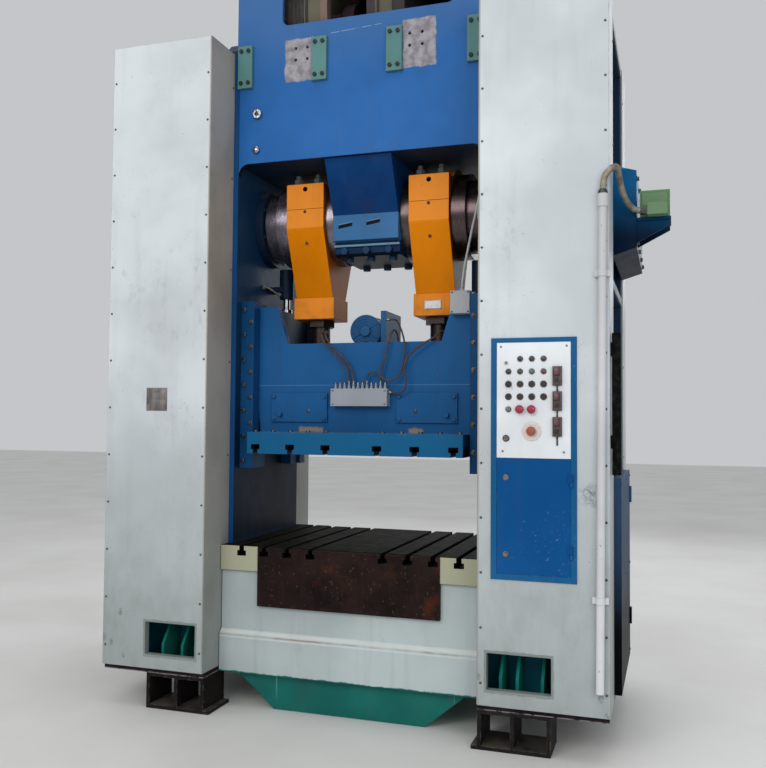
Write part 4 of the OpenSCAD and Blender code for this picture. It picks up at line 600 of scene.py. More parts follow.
LOOKS = {
    "white": paint("white_paint", (206, 212, 216), 0.40, 0.18, 0.55, 0.14, 0.75, (120, 84, 60),
                   zone=cover_marks, edge=0.005, foot=1.9, gleam=0.25),
    "bed": paint("bed_paint", (178, 189, 190), 0.42, 0.30, 0.5, 0.25, 0.7, (110, 90, 70), zone=bed_marks,
                 gleam=0.2),
    "crown": paint("crown_paint", (34, 98, 166), 0.42, 0.30, 0.35, 0.3, 0.4, zone=crown_marks),
    "upright": paint("upright_paint", (16, 72, 126), 0.42, 0.45, 0.35, 0.3, 0.4, zone=upright_marks),
    "slide": paint("slide_paint", (20, 84, 138), 0.36, 0.38, 0.45, 0.5, 0.75, (110, 96, 86), (46, 58, 54),
                   zone=slide_marks),
    "drive": paint("drive_paint", (34, 86, 132), 0.40, 0.5, 0.4, 0.3, 0.6, zone=drive_marks,
                   grime=(30, 36, 40)),
    "gib": paint("gib_paint", (8, 66, 112), 0.34, 0.25, 0.3, 0.3, 0.5),
    "cap": paint("bearing_paint", (62, 112, 160), 0.38, 0.3, 0.4, 0.2, 0.5, zone=cap_marks, gleam=0.05),
    "flange": paint("flange_paint", (14, 32, 54), 0.38, 0.5, 0.4, 0.2, 0.5),
    "housing": paint("housing_paint", (14, 96, 148), 0.36, 0.2, 0.3, 0.2, 0.4, zone=housing_marks,
                     gleam=0.03),
    "side": paint("side_paint", (62, 88, 120), 0.40, 0.3, 0.3, 0.2, 0.4, zone=side_marks, dusty=0.1,
                  gleam=0.02),
    "door": paint("door_paint", (2, 80, 142), 0.34, 0.15, 0.25, 0.2, 0.35, (150, 160, 170), edge=0.004),
    "cabinet": paint("cabinet_paint", (20, 92, 142), 0.36, 0.2, 0.25, 0.2, 0.35, (150, 160, 170),
                     edge=0.004),
    "panel": paint("panel_paint", (236, 240, 244), 0.30, 0.10, 0.1, 0.1, 0.3, (150, 150, 150), dusty=0,
                   edge=0.002),
    "orange": paint("orange_paint", (226, 130, 2), 0.36, 0.18, 0.45, 0.25, 0.55, (110, 56, 14),
                    (112, 66, 10), zone=pitman_marks, gleam=0.04),
    "green": paint("bracket_paint", (88, 132, 130), 0.42, 0.4, 0.5, 0.2, 0.6, (110, 90, 60),
                   zone=bracket_marks),
    "switch_green": paint("switch_paint", (108, 140, 104), 0.42, 0.3, 0.4, 0.2, 0.5),
    "drum": paint("drum_paint", (104, 100, 84), 0.40, 0.45, 0.3, 0.4, 0.5, zone=drum_bands, dusty=0.1),
    "box": paint("box_paint", (152, 156, 166), 0.34, 0.15, 0.25, 0.15, 0.5, edge=0.003),
    "motor": paint("motor_paint", (126, 130, 132), 0.42, 0.4, 0.3, 0.25, 0.4),
    "pipe": paint("pipe_paint", (206, 207, 209), 0.42, 0.25, 0.6, 0.25, 0.6, (92, 74, 60), edge=0.003,
                  gleam=0.25),
    "feet": paint("foot_paint", (24, 20, 21), 0.55, 0.5, 0.6, 0.4, 0.8, (150, 142, 136)),
    "crank": machined("crank_steel", (120, 110, 106), 0.25, 0.9, (9, 0.4, 0.4), 0.25, zone=crank_marks),
    "screw": machined("screw_steel", (64, 54, 50), 0.38, 0.8, (0.4, 0.4, 6), 0.45),
    "steel": machined("bright_steel", (152, 150, 148), 0.3, 0.95, (1, 1, 1), 0.25),
    "bolt": machined("bolt_steel", (92, 96, 98), 0.36, 0.85, (1, 1, 1), 0.3, (80, 60, 44)),
    "rod": machined("rod_chrome", (190, 192, 196), 0.14, 1.0, (0.5, 0.5, 5), 0.05),
    "bronze": machined("bush_bronze", (168, 124, 64), 0.32, 0.9, (1, 1, 1), 0.1, (70, 50, 30)),
    "brass": machined("fitting_brass", (190, 170, 130), 0.28, 0.9, (1, 1, 1), 0.15, (90, 80, 60)),
    "gear": gear_steel("gear_steel"),
    "rust": rusty_plate("rusty_plate"),
    "bolster": bolster_steel("bolster_steel"),
    "conduit": corrugated("conduit_metal"),
    "black": plastic("black_plastic", (20, 20, 23), 0.32, Coat_Weight=0.2),
    "red": plastic("red_plastic", (150, 18, 52), 0.28, Coat_Weight=0.35),
    "brick": plastic("brick_plastic", (156, 84, 66), 0.42, Specular_IOR_Level=0.3),
    "legend": plastic("legend_plastic", (214, 204, 198), 0.4),
    "cream": plastic("cream_plastic", (206, 198, 180), 0.4),
    "dark_metal": machined("device_metal", (92, 76, 68), 0.42, 0.4, (1, 1, 1), 0.7, (104, 46, 34)),
    "hose": rubber("hose_rubber", (62, 46, 42)),
    "belt": rubber("belt_rubber", (24, 23, 22)),
    "cable": rubber("cable_grey", (176, 178, 178), 0.5),
    "curtain": plastic("curtain_black", (9, 12, 11), 0.5, Specular_IOR_Level=0.04),
    "plate": plate_metal("notice_metal"),
    "tag": plastic("tag_white", (232, 232, 230), 0.55),
    "lens_dark": lens("lens_dark", (30, 30, 34)),
    "lens_green": lens("lens_green", (24, 66, 58)),
    "lens_grey": lens("lens_grey_green", (92, 116, 106)),
    "lens_red": lens("lens_red", (104, 36, 58)),
    "lens_smoke": lens("lens_smoke", (120, 122, 122)),
}

NODE_LOOKS = {
    "white": "left_front_cover right_front_cover rear_covers",
    "bed": "bed",
    "crown": "crown",
    "upright": "left_upright right_upright",
    "slide": "slide access_plates",
    "drive": "adjusting_drive",
    "gib": "gib_rails",
    "cap": "centre_bearing_cap",
    "flange": "bearing_flanges balance_cylinders",
    "housing": "crank_end_housing",
    "side": "side_panels",
    "door": "cabinet_door",
    "cabinet": "control_cabinet",
    "panel": "panel_plate",
    "orange": "left_pitman right_pitman pitman_caps",
    "green": "crown_brackets",
    "switch_green": "cam_switch_box",
    "drum": "flywheel drive_shaft",
    "box": "lube_distributor",
    "motor": "main_motor",
    "pipe": "conduit_pipe",
    "feet": "machine_feet",
    "crank": "crankshaft",
    "screw": "adjusting_screws motor_pulley",
    "steel": "upper_door_lock lower_door_lock key_switch",
    "rod": "balance_rods",
    "bronze": "crank_bushes",
    "gear": "main_gear idler_gear intermediate_shaft",
    "rust": "bed_front_plate",
    "bolster": "bolster_plate",
    "conduit": "flexible_conduit",
    "curtain": "light_curtain",
    "black": "selector_switch button_1 button_2 button_3 button_4 button_5 button_6 button_7",
    "red": "mushroom_button_1 mushroom_button_2",
    "brick": "emergency_stop",
    "dark_metal": "panel_devices",
    "hose": "lube_hoses",
    "belt": "drive_belts",
    "lens_smoke": "pilot_lamps",
}


def dress_nodes():
    for look, names in NODE_LOOKS.items():
        for name in names.split():
            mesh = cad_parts[name].data
            mesh.materials.clear()
            mesh.materials.append(LOOKS[look])


# Mesh building

def block(bm, x, y, z, round_by=0.0, material=0):
    """A box between two X, two Y and two Z."""
    verts = bmesh.ops.create_cube(bm, size=1.0)["verts"]
    for v in verts:
        v.co = Vector([low + (at + 0.5) * (high - low) for at, (low, high) in zip(v.co, (x, y, z))])
    for face in {f for v in verts for f in v.link_faces}:
        face.material_index = material
    if round_by:
        sides = list({e for v in verts for e in v.link_edges})
        bmesh.ops.bevel(bm, geom=sides, offset=round_by, segments=2, profile=0.6, affect="EDGES",
                        material=material)


def turn_to(axis):
    return Vector(axis).to_track_quat("Z", "Y").to_matrix()


def skin(bm, rings, material):
    """Faces from ring to ring. A ring may be a single point."""
    for a, b in zip(rings, rings[1:]):
        for k in range(max(len(a), len(b))):
            j = k + 1
            corners = [a[k % len(a)], a[j % len(a)], b[j % len(b)], b[k % len(b)]]
            bm.faces.new(list(dict.fromkeys(corners))).material_index = material


def lathe(bm, place, axis, profile, sides=24, material=0, twist=0.0):
    """Revolves (radius, height) pairs about axis at place. A radius of 0 closes the end."""
    turn, place, rings = turn_to(axis), Vector(place), []
    for radius, height in profile:
        angles = [twist + 2 * math.pi * k / sides for k in range(sides if radius else 1)]
        rings.append([bm.verts.new(place + turn @ Vector((radius * math.cos(a), radius * math.sin(a),
                                                          height))) for a in angles])
    skin(bm, rings, material)


def hex_bolt(bm, place, axis, r, h):
    """Washer and hexagon head."""
    lathe(bm, place, axis, [(r * 1.5, 0), (r * 1.5, h * 0.14), (r * 1.42, h * 0.18), (r * 0.9, h * 0.18)], 20)
    lathe(bm, place, axis, [(r, h * 0.1), (r, h * 0.84), (r * 0.86, h), (0, h)], 6, 0, random.uniform(0, 1))


def socket_bolt(bm, place, axis, r, h):
    """Round head with a hexagon socket."""
    lathe(bm, place, axis, [(r, 0), (r, h * 0.86), (r * 0.93, h), (r * 0.56, h)], 20)
    lathe(bm, place, axis, [(r * 0.56, h), (r * 0.53, h * 0.35), (0, h * 0.35)], 6, 0, random.uniform(0, 1))


def screw(bm, place, axis, r, h, material=0):
    """Domed slotted screw: the slot is a shallow bar across the dome."""
    lathe(bm, place, axis, [(r, 0), (r * 0.96, h * 0.45), (r * 0.7, h * 0.85), (0, h)], 14, material)
    turn = turn_to(axis) @ Matrix.Rotation(random.uniform(0, 3.1), 3, "Z")
    at = len(bm.verts)
    block(bm, (-r * 0.8, r * 0.8), (-r * 0.09, r * 0.09), (h * 0.7, h * 1.03), 0, material)
    bm.verts.ensure_lookup_table()
    for v in bm.verts[at:]:
        v.co = Vector(place) + turn @ v.co


def tube(bm, points, radius, sides=12):
    """A closed tube along points. radius is a number or a function of the distance along it."""
    rings, run, side = [], 0.0, None
    for i, p in enumerate(points):
        ahead = (points[min(i + 1, len(points) - 1)] - points[max(i - 1, 0)]).normalized()
        if side is None:
            side = ahead.orthogonal()
        side = (side - ahead * side.dot(ahead)).normalized()
        other = ahead.cross(side)
        if i:
            run += (p - points[i - 1]).length
        r = radius(run) if callable(radius) else radius
        angles = [2 * math.pi * k / sides for k in range(sides)]
        rings.append([bm.verts.new(p + r * (math.cos(a) * side + math.sin(a) * other)) for a in angles])
    skin(bm, rings, 0)
    bm.faces.new(rings[0][::-1])
    bm.faces.new(rings[-1])


def smooth_path(knots, step):
    """Catmull-Rom curve through the knots, then points about step metres apart."""
    knots = [Vector(k) for k in knots]
    dense = []
    for i in range(len(knots) - 1):
        a, b = knots[max(i - 1, 0)], knots[i]
        c, d = knots[i + 1], knots[min(i + 2, len(knots) - 1)]
        for k in range(24):
            t = k / 24
            dense.append(0.5 * (2 * b + (c - a) * t + (2 * a - 5 * b + 4 * c - d) * t * t
                                + (3 * b - a - 3 * c + d) * t ** 3))
    dense.append(knots[-1])
    total = sum((q - p).length for p, q in zip(dense, dense[1:]))
    count = max(2, round(total / step))
    made, run, goal = [dense[0]], 0.0, total / count
    for p, q in zip(dense, dense[1:]):
        piece = (q - p).length
        while run + piece >= goal - 1e-9 and len(made) < count:
            made.append(p.lerp(q, (goal - run) / piece))
            goal += total / count
        run += piece
    made.append(dense[-1])
    return made, total


def object_from(bm, name, looks):
    """A smooth object from the mesh. looks is one look, or several by material number."""
    mesh = bpy.data.meshes.new(name)
    bm.to_mesh(mesh)
    bm.free()
    for look in [looks] if isinstance(looks, str) else looks:
        mesh.materials.append(LOOKS[look])
    mesh.polygons.foreach_set("use_smooth", [True] * len(mesh.polygons))
    made = bpy.data.objects.new(name, mesh)
    scene.collection.objects.link(made)
    return made


def piece_from(bm, name, looks, body, sharp=32):
    """A piece that rides on body, with edges over sharp degrees kept hard."""
    bmesh.ops.recalc_face_normals(bm, faces=bm.faces)
    made = object_from(bm, name, looks)
    made.data.set_sharp_from_angle(angle=math.radians(sharp))
    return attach(made, body)


# Pieces on the frame

def cover_screws():
    """Screws down the covers' fronts and sides."""
    bm = bmesh.new()
    first, last, pitch, side_y, head = 0.317, 3.55, 0.2587, 0.455, (0.0062, 0.0032)
    rows = [first + pitch * k for k in range(int((last - first) / pitch) + 1)]
    for side in BOTH:
        for x in (COVER_X[0] + 0.019, COVER_X[1] - 0.016):
            for z in rows:
                for front in BOTH:
                    screw(bm, (side * x, front * -COVER_FRONT, z), (0, front, 0), *head)
        for z in rows[::2]:
            for front in BOTH:
                screw(bm, (side * COVER_X[0], front * side_y, z), (-side, 0, 0), *head)
                screw(bm, (side * COVER_X[1], front * side_y, z), (side, 0, 0), *head)
    piece_from(bm, "cover_screws", "bolt", "frame")


def notice_place():
    """A bare plate where a notice is riveted on."""
    bm = bmesh.new()
    x, z, y = (-1.097, -0.969), (1.593, 1.717), COVER_FRONT
    block(bm, x, (y - 0.0016, y), z, 0.0006)
    middle = (z[0] + z[1]) / 2
    for low, high in ((z[0] + 0.010, middle - 0.004), (middle + 0.004, z[1] - 0.010)):
        block(bm, (x[0] + 0.012, x[1] - 0.012), (y - 0.0024, y - 0.001), (low, high), 0.0005)
    for px in (x[0] + 0.006, x[1] - 0.006):
        for pz in (z[0] + 0.006, z[1] - 0.006):
            lathe(bm, (px, y - 0.0016, pz), FORWARD, [(0.003, 0), (0.0024, 0.001), (0, 0.0014)], 12)
    piece_from(bm, "notice_place", "plate", "frame")


def crown_plugs():
    """Screwed plugs on the crown's front: a lobed one with a dark socket and a plain one."""
    bm = bmesh.new()
    x, y, z, lobes = -0.585, FRAME_FRONT - 0.010, 3.262, 0.0185
    lathe(bm, (x, y, z), FORWARD, [(0.0265, 0), (0.0265, 0.004), (0.024, 0.007), (0.012, 0.007)], 28)
    lathe(bm, (x, y, z), FORWARD, [(0.0125, 0.0072), (0.011, 0.0005), (0, 0.0005)], 6, 1)
    for k in range(6):
        a = math.pi * (k + 0.5) / 3
        place = (x + lobes * math.cos(a), y - 0.0065, z + lobes * math.sin(a))
        lathe(bm, place, FORWARD, [(0.0036, 0), (0.003, 0.002), (0, 0.0026)], 10)
    lathe(bm, (-0.589, FRAME_FRONT - 0.012, 3.059), FORWARD,
          [(0.019, 0), (0.019, 0.003), (0.016, 0.006), (0.006, 0.0085), (0, 0.009)], 28)
    piece_from(bm, "crown_plugs", ["rod", "black"], "frame")


def gib_bolts():
    """Clamping bolts down the rails' outer faces and adjusting screws with lock nuts beside them."""
    bm = bmesh.new()
    count, first, pitch = 7, 1.318, 0.142
    for side in BOTH:
        for front in BOTH:
            for k in range(count):
                z = first + pitch * k
                socket_bolt(bm, (side * 0.678, front * RAIL_FRONT, z), (0, front, 0), 0.0125, 0.012)
                if k < count - 1:
                    hex_bolt(bm, (side * 0.639, front * RAIL_FRONT, z + pitch / 2), (0, front, 0), 0.0095,
                             0.014)
    piece_from(bm, "gib_bolts", "bolt", "frame")


def housing_bolts():
    """Bolts on the crank end housing and screws of the side panels."""
    bm = bmesh.new()
    for y in (-0.36, -0.12, 0.12, 0.36):
        for z in (2.435, 2.755):
            hex_bolt(bm, (1.455, y, z), (1, 0, 0), 0.011, 0.012)
    for side in BOTH:
        for y in (-0.395, 0, 0.395):
            for z in (0.27, 0.76, 1.25):
                screw(bm, (side * 1.380, y, z), (side, 0, 0), 0.008, 0.004)
    piece_from(bm, "side_bolts", "bolt", "frame")


def air_pipe():
    """Thin air line from the upright to the left balance cylinder, with its nuts."""
    bm = bmesh.new()
    knots = [(-0.6995, -0.100, 2.340), (-0.672, -0.092, 2.336), (-0.650, -0.076, 2.322),
             (-0.634, -0.058, 2.308), (-0.6175, -0.0335, 2.300)]
    points, _ = smooth_path(knots, 0.006)
    tube(bm, points, 0.0052)
    lathe(bm, knots[0], (1, 0, 0), [(0.013, 0), (0.013, 0.010), (0.010, 0.014), (0.0055, 0.015)], 6)
    way = (points[-3] - points[-1]).normalized()
    lathe(bm, points[-1], way, [(0.011, 0), (0.011, 0.009), (0.009, 0.013), (0.0055, 0.014)], 6)
    piece_from(bm, "air_pipe", "conduit", "frame")


CONDUIT_KNOTS = [(1.318 + x, -0.7288 + y, 2.600 + z) for x, y, z in (
    (0, 0, 0.0005), (0.001, 0, 0.040), (0.009, 0.0003, 0.080), (0.029, 0.0053, 0.109), (0.048, 0.0268, 0.128),
    (0.059, 0.0688, 0.135), (0.063, 0.1288, 0.122), (0.068, 0.1788, 0.090), (0.078, 0.2138, 0.052),
    (0.096, 0.2418, 0.012), (0.124, 0.265, -0.018), (0.156, 0.2724, -0.0269), (0.1867, 0.2733, -0.028))]


def flexible_conduit():
    """Ribbed metal hose from the pipe's top, over the cover's edge, to the switch's terminal box."""
    points, length = smooth_path(CONDUIT_KNOTS, 0.0014)
    rib, groove, ridge = 0.0056, 0.0136, 0.0014
    bm = bmesh.new()
    tube(bm, points, lambda s: groove + ridge * (0.5 + 0.5 * math.cos(2 * math.pi * s / rib)), 18)
    hose = piece_from(bm, "conduit_hose", "conduit", "frame", 80)
    bm = bmesh.new()
    way = (points[-1] - points[-8]).normalized()
    lathe(bm, points[-1] - way * 0.030, way,
          [(0.0165, 0), (0.019, 0.003), (0.019, 0.012), (0.021, 0.0125), (0.021, 0.026), (0.0205, 0.0302),
           (0.016, 0.0302)], 8)
    lathe(bm, points[0], UP,
          [(0.0215, -0.0004), (0.0225, 0.003), (0.0225, 0.010), (0.0195, 0.016), (0.0156, 0.022)], 20)
    glands = piece_from(bm, "conduit_glands", "bolt", "frame")
    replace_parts(hose, "flexible_conduit")


def on_panel(bm, place, profile, sides, material=0):
    """A lathed piece on the panel, at (X, Z)."""
    lathe(bm, (place[0], PANEL_FRONT, place[1]), FORWARD, profile, sides, material)


def panel_fittings():
    """Bezels round every operator, the stop's legend disc and the plate's screws."""
    bm = bmesh.new()
    holes = [(1, 2), (2, 2), (3, 2), (0, 2), (0, 3), (1, 3), (2, 3), (3, 3), (1, 4), (2, 4)]
    for place in [button_at(*hole) for hole in holes] + [KEY]:
        on_panel(bm, place, [(0.0162, 0), (0.0162, 0.0034), (0.0148, 0.0052), (0.0124, 0.0052),
                             (0.0112, 0.0040)], 28)
    piece_from(bm, "bezels", "dark_metal", "frame")
    bm = bmesh.new()
    on_panel(bm, STOP, [(0.0456, 0), (0.0456, 0.0040), (0.0440, 0.0050), (0.0240, 0.0052),
                        (0.0114, 0.0050)], 48)
    piece_from(bm, "stop_legend", "legend", "frame")
    bm = bmesh.new()
    for x, z in ((0.845, 1.905), (1.152, 1.905), (0.8545, 1.411), (1.1395, 1.410)):
        screw(bm, (x, PANEL_FRONT - 0.003 * (z < 1.5), z), FORWARD, 0.0055, 0.0022)
    piece_from(bm, "panel_screws", "steel", "frame")


def lamps():
    """Pilot lamps: a collar and a domed lens each, in the colours they have when dark."""
    looks = ["dark_metal", "lens_dark", "lens_green", "lens_grey", "lens_red", "lens_smoke", "cream"]
    kinds = {(1, 0): 1, (2, 0): 1, (3, 0): 1, (0, 1): 1, (1, 1): 2, (2, 1): 3, (3, 1): 4, (0, 4): 5}
    bm = bmesh.new()
    for hole, kind in kinds.items():
        place = button_at(*hole)
        on_panel(bm, place, [(0.0140, 0), (0.0140, 0.0036), (0.0128, 0.0052), (0.0108, 0.0050)], 28)
        on_panel(bm, place, [(0.0110, 0.003), (0.0108, 0.0078), (0.0092, 0.0102), (0.0055, 0.0118),
                             (0, 0.0124)], 24, kind)
    on_panel(bm, SMALL_LAMP, [(0.0100, 0), (0.0100, 0.0040), (0.0088, 0.0052), (0.0060, 0.0050)], 24, 6)
    on_panel(bm, SMALL_LAMP, [(0.0062, 0.003), (0.0050, 0.0068), (0, 0.0080)], 20, 5)
    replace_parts(piece_from(bm, "lamp_lenses", looks, "frame"), "pilot_lamps")


def devices():
    """Three upright switch units with a reddish window, a thumb knob and their cord channel."""
    looks = ["dark_metal", "lens_red", "black", "bolt"]
    bm = bmesh.new()
    x, y = (1.087, 1.131), PANEL_FRONT
    middle = (x[0] + x[1]) / 2
    # Each layer's edge inside the unit's, front and back, lower and upper end, rounding and material
    layers = [(0, -0.006, 0, 0, 0.091, 0.0014, 0), (0.002, -0.020, -0.004, 0.002, 0.089, 0.0026, 0),
              (0.007, -0.0235, -0.018, 0.046, 0.083, 0.0012, 2),
              (0.010, -0.0260, -0.022, 0.050, 0.079, 0.0016, 1)]
    for z in (1.719, 1.602, 1.482):
        for edge, front, back, low, high, round_by, material in layers:
            block(bm, (x[0] + edge, x[1] - edge), (y + front, y + back), (z + low, z + high), round_by,
                  material)
        lathe(bm, (middle, y - 0.0195, z + 0.026), FORWARD,
              [(0.011, 0), (0.011, 0.003), (0.0085, 0.0045), (0.008, 0.0072), (0, 0.0076)], 20, 2)
        for sx in (x[0] + 0.006, x[1] - 0.006):
            screw(bm, (sx, y - 0.0198, z + 0.008), FORWARD, 0.0026, 0.0014, 3)
    for low, high in ((1.440, 1.484), (1.571, 1.604), (1.691, 1.721)):
        block(bm, (middle - 0.0035, middle + 0.0035), (y - 0.0052, y), (low, high), 0.0012, 2)
    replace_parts(piece_from(bm, "switch_units", looks, "frame"), "panel_devices")


def grille(bm, centres, axis, radii, ring, spokes, spoke):
    """Rings and spokes on a fan cowl. centres are the rings' and the spokes'. ring holds half a ring's width
    at its foot and at its top, spoke its start, middle and end, its radius and its turn."""
    start, middle, end, thick, turn = spoke
    for r in radii:
        lathe(bm, centres[0], axis,
              [(r - ring[0], 0), (r - ring[1], 0.003), (r + ring[1], 0.003), (r + ring[0], 0)], 40)
    for k in range(spokes):
        a = 2 * math.pi * (k + turn) / spokes
        way = Vector((0, math.cos(a), math.sin(a)) if axis[0] else (math.cos(a), 0, math.sin(a)))
        tube(bm, [centres[1] + way * at for at in (start, middle, end)], thick, 6)


def motor_trim():
    """Fan cowl grille, terminal box screws and feet bolts of the main motor."""
    bm = bmesh.new()
    low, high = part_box("main_motor")
    y, z = 0.765, 3.864
    grille(bm, (Vector((high.x - 0.0005, y, z)), Vector((high.x + 0.001, y, z))), (1, 0, 0),
           (0.045, 0.075, 0.105, 0.135), (0.006, 0.005), 8, (0.03, 0.08, 0.15, 0.003, 0))
    piece_from(bm, "motor_grille", "motor", "frame")
    bm = bmesh.new()
    for x in (low.x + 0.10, high.x - 0.15):
        for dy in (-0.135, 0.135):
            hex_bolt(bm, (x, y + dy, 3.661), UP, 0.012, 0.012)
    for x in (low.x + 0.134, low.x + 0.286):
        for dy in (-0.066, 0.066):
            screw(bm, (x, y + dy, high.z), UP, 0.005, 0.003)
    piece_from(bm, "motor_bolts", "bolt", "frame")


# Pieces on the slide and the pitmans

# The hoses' middle lines, in millimetres, as in the CAD part: X, Y and the height above the slide's underside
HOSE_LEFT = [(-65, -324, 384.3), (-67.5, -324, 422), (-88, -325, 487), (-146, -326, 549), (-200, -326, 600),
             (-230, -319, 643), (-246, -294, 676), (-252, -258, 682), (-255, -223, 660), (-256, -207, 624),
             (-256, -205, 597.3)]
HOSE_SECOND = [(x + 26, y, z) for x, y, z in HOSE_LEFT]
HOSE_MIDDLE = [(117, -324, 384.3), (118.5, -324, 430), (131, -326, 492), (148, -327, 552), (161, -326, 604),
               (169, -317, 646), (175, -292, 677), (178, -257, 682), (180, -223, 660), (181, -207, 624),
               (181, -205, 597.3)]
HOSE_DRIVE = [(39, -324, 384.3), (39.5, -324, 404), (44, -326, 428), (60, -331, 447), (84, -337, 452),
              (107, -344, 443), (126, -346, 424), (147, -346, 408), (172, -344, 402), (196, -340, 408),
              (216, -335, 422), (231, -330, 444), (241, -327, 474), (247, -326, 510), (252, -326, 552),
              (252, -324, 594), (243, -314, 630), (228, -289, 660), (210, -256, 688), (191, -221, 712),
              (171, -184, 734), (150, -151, 749), (127, -130, 756), (104, -124.7, 757), (85.5, -124, 757)]
HOSE_SCREW = [(162.5, -324, 340), (179, -324.5, 339.5), (200, -328, 336), (223, -336, 332), (244, -344, 339),
              (260, -348, 357), (268, -349, 382), (267, -349, 410), (260, -349, 440), (256, -348, 472),
              (264, -346, 506), (288, -344, 542), (320, -341, 572), (360, -337, 600), (398, -329, 622),
              (426, -310, 645), (441, -280, 668), (449, -245, 668), (453, -217, 645), (454, -206.3, 616),
              (454, -205, 597.3)]
HOSE_ROUTES = [HOSE_LEFT, HOSE_SECOND, HOSE_MIDDLE, HOSE_DRIVE, HOSE_SCREW]


def lube_hoses():
    """Grease hoses with crimped ends. All of them start and end on the slide."""
    radius = 0.005
    grip = radius + 0.0016
    crimp = [(grip, 0), (grip, 0.007), (grip - 0.001, 0.008), (grip, 0.009), (grip, 0.017),
             (radius + 0.0002, 0.018)]
    for number, route in enumerate(HOSE_ROUTES, 1):
        points, length = smooth_path([(x / 1000, y / 1000, z / 1000 + SLIDE_BOTTOM) for x, y, z in route],
                                     0.006)
        bm = bmesh.new()
        tube(bm, points, radius, 14)
        hose = piece_from(bm, "lube_hose_%d" % number, "hose", "ram", 80)
        bm = bmesh.new()
        for at, near in ((points[0], points[2]), (points[-1], points[-3])):
            lathe(bm, at, (near - at).normalized(), crimp, 16)
        ferrules = piece_from(bm, "hose_ends_%d" % number, "brass", "ram")
        if number == 1:
            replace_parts(hose, "lube_hoses")


def distributor_trim():
    """Bolts, hose fittings and spare grease nipples of the grease distributor."""
    bm = bmesh.new()
    for x in (-0.150, 0.150):
        for z in (1.639, 1.711):
            socket_bolt(bm, (x, -0.353, z), FORWARD, 0.005, 0.003)
    hosed = (3, 4, 7, 10)
    for k in range(12):
        x, y = -0.143 + 0.026 * k, -0.324
        lathe(bm, (x, y, 1.7232), UP, [(0.0105, 0), (0.0105, 0.002), (0.0098, 0.003), (0.006, 0.003)], 16)
        if k not in hosed:
            lathe(bm, (x, y, 1.7465), UP,
                  [(0.0052, 0), (0.0062, 0.003), (0.0030, 0.008), (0.0034, 0.011), (0, 0.013)], 12)
    piece_from(bm, "distributor_trim", "rod", "ram")


def slide_bolts():
    """Bolts of the slide's lower plate and a plug in each access plate."""
    bm = bmesh.new()
    for side in BOTH:
        for k in range(5):
            for y in (SLIDE_FRONT - 0.120, 0.120 - SLIDE_FRONT):
                socket_bolt(bm, (side * (0.16 + 0.105 * k), y, 1.482), UP, 0.012, 0.010)
        lathe(bm, (side * 0.31, SLIDE_FRONT - 0.012, 1.600), FORWARD,
              [(0.010, 0), (0.010, 0.003), (0.004, 0.005), (0, 0.005)], 16)
    piece_from(bm, "slide_bolts", "bolt", "ram")


def adjusting_motor_trim():
    """Cooling ribs, cowl rings and spokes of the adjusting motor, and its terminal box's screws."""
    bm = bmesh.new()
    x, z, ribs, shell = -0.045, 2.060, 26, 0.0895
    for k in range(ribs):
        a = 2 * math.pi * k / ribs
        if math.sin(a) < -0.75:
            continue
        way = Vector((math.cos(a), 0, math.sin(a))) * shell
        tube(bm, [Vector((x, y, z)) + way for y in (-0.090, 0.146)], 0.0032, 6)
    grille(bm, (Vector((x, -0.110, z)), Vector((x, -0.112, z))), FORWARD, (0.040, 0.056, 0.072, 0.086),
           (0.0045, 0.003), 6, (0.030, 0.060, 0.090, 0.0026, 0.5))
    piece_from(bm, "adjusting_motor_ribs", "drive", "ram")
    bm = bmesh.new()
    for sx in (0.517, 0.603):
        for sz in (2.125, 2.228):
            screw(bm, (sx, -0.350, sz), FORWARD, 0.005, 0.003)
    piece_from(bm, "terminal_screws", "bolt", "ram")


CABLE_KNOTS = [(0.566, -0.322, 2.2525), (0.569, -0.322, 2.300), (0.580, -0.318, 2.380),
               (0.594, -0.311, 2.460), (0.608, -0.303, 2.540), (0.621, -0.295, 2.610),
               (0.634, -0.288, 2.675), (0.643, -0.2835, 2.725), (0.650, -0.2824, 2.770),
               (0.6541, -0.2841, 2.7984), (0.6583, -0.2956, 2.8247), (0.6624, -0.3173, 2.8428),
               (0.6665, -0.3453, 2.8495), (0.6706, -0.3728, 2.843), (0.6748, -0.3949, 2.8246),
               (0.6789, -0.4062, 2.7987), (0.683, -0.408, 2.7698), (0.684, -0.408, 2.735),
               (0.684, -0.408, 2.700), (0.684, -0.408, 2.6605)]
CABLE_R = 0.0065


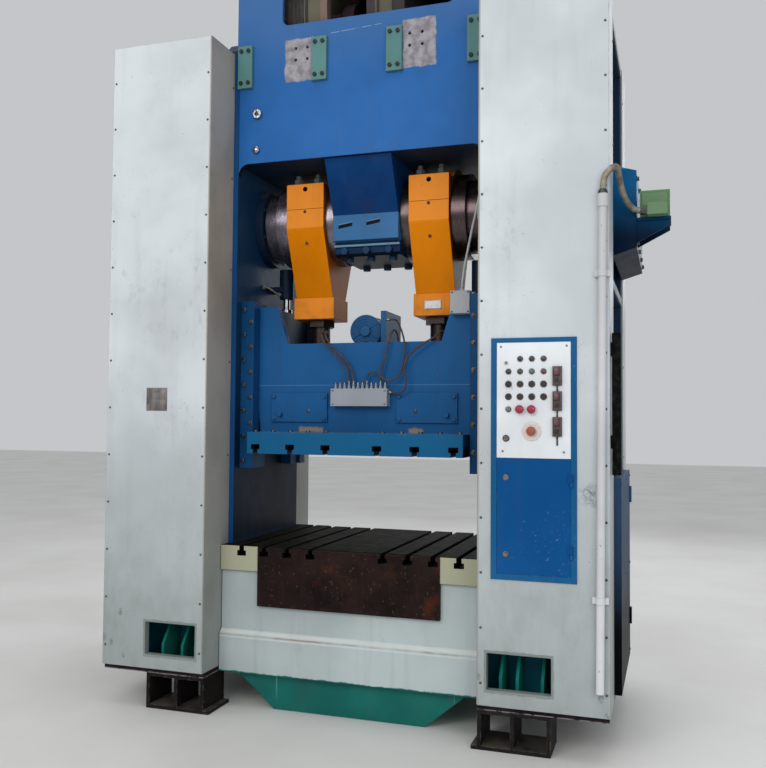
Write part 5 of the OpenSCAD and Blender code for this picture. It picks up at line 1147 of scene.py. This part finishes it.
def supply_cable():
    """Cable of the adjusting motor: it rises from the slide's terminal box and hangs from the upright in a
    bend."""
    points, length = smooth_path(CABLE_KNOTS, 0.006)
    bm = bmesh.new()
    tube(bm, points, CABLE_R, 14)
    cable = object_from(bm, "supply_cable", "cable")
    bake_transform(cable)
    bm = bmesh.new()
    block(bm, (0.668, 0.6995), (-0.430, -0.386), (2.590, 2.650), 0.003)
    lathe(bm, (0.684, -0.408, 2.649), UP, [(0.012, 0), (0.012, 0.008), (0.0105, 0.012), (0.0068, 0.014)], 6)
    for z in (2.700, 2.800):
        block(bm, (0.6745, 0.6995), (-0.422, -0.394), (z - 0.006, z + 0.006), 0.002)
    piece_from(bm, "cable_box", "box", "frame")


def paper_tag():
    """A bare white tag stuck to the right pitman's foot, with one corner lifting."""
    bm = bmesh.new()
    x, z, y = (0.302, 0.402), (2.172, 2.222), -0.1152
    columns, rows, paper = 12, 6, 0.0004
    grid = []
    for i in range(columns + 1):
        for j in range(rows + 1):
            u, v = i / columns, j / rows
            lift = 0.036 * max(0.0, u + v - 1.55) ** 2
            grid.append(bm.verts.new((x[0] + u * (x[1] - x[0]), y - paper - lift, z[0] + v * (z[1] - z[0]))))
    for i in range(columns):
        for j in range(rows):
            a = i * (rows + 1) + j
            bm.faces.new((grid[a], grid[a + 1], grid[a + rows + 2], grid[a + rows + 1]))
    made = piece_from(bm, "paper_tag", "tag", "pitmans")
    made.modifiers.new("thickness", "SOLIDIFY").thickness = paper


def pitman_trim():
    """Grease nipples on the pitmans' fronts."""
    bm = bmesh.new()
    for side in BOTH:
        for y, z in ((-0.2652, 2.735), (-0.2325, 2.560)):
            lathe(bm, (side * PITMAN_X, y, z), FORWARD,
                  [(0.009, 0), (0.009, 0.002), (0.004, 0.004), (0.0032, 0.010), (0, 0.012)], 12)
    piece_from(bm, "grease_nipples", "bolt", "pitmans")


make_camera()
flexible_conduit()
lube_hoses()
supply_cable()
make_studio()
dress_nodes()
cover_screws()
notice_place()
crown_plugs()
gib_bolts()
housing_bolts()
air_pipe()
panel_fittings()
lamps()
devices()
motor_trim()
distributor_trim()
slide_bolts()
adjusting_motor_trim()
paper_tag()
pitman_trim()

floor_mesh = bpy.data.meshes.new("floor")
floor_mesh.from_pydata([(-30, -30, 0), (30, -30, 0), (30, 30, 0), (-30, 30, 0)], [], [(0, 1, 2, 3)])
floor = bpy.data.objects.new("floor", floor_mesh)
scene.collection.objects.link(floor)
floor_mesh.materials.append(floor_material())
floor.location.z = -0.0005
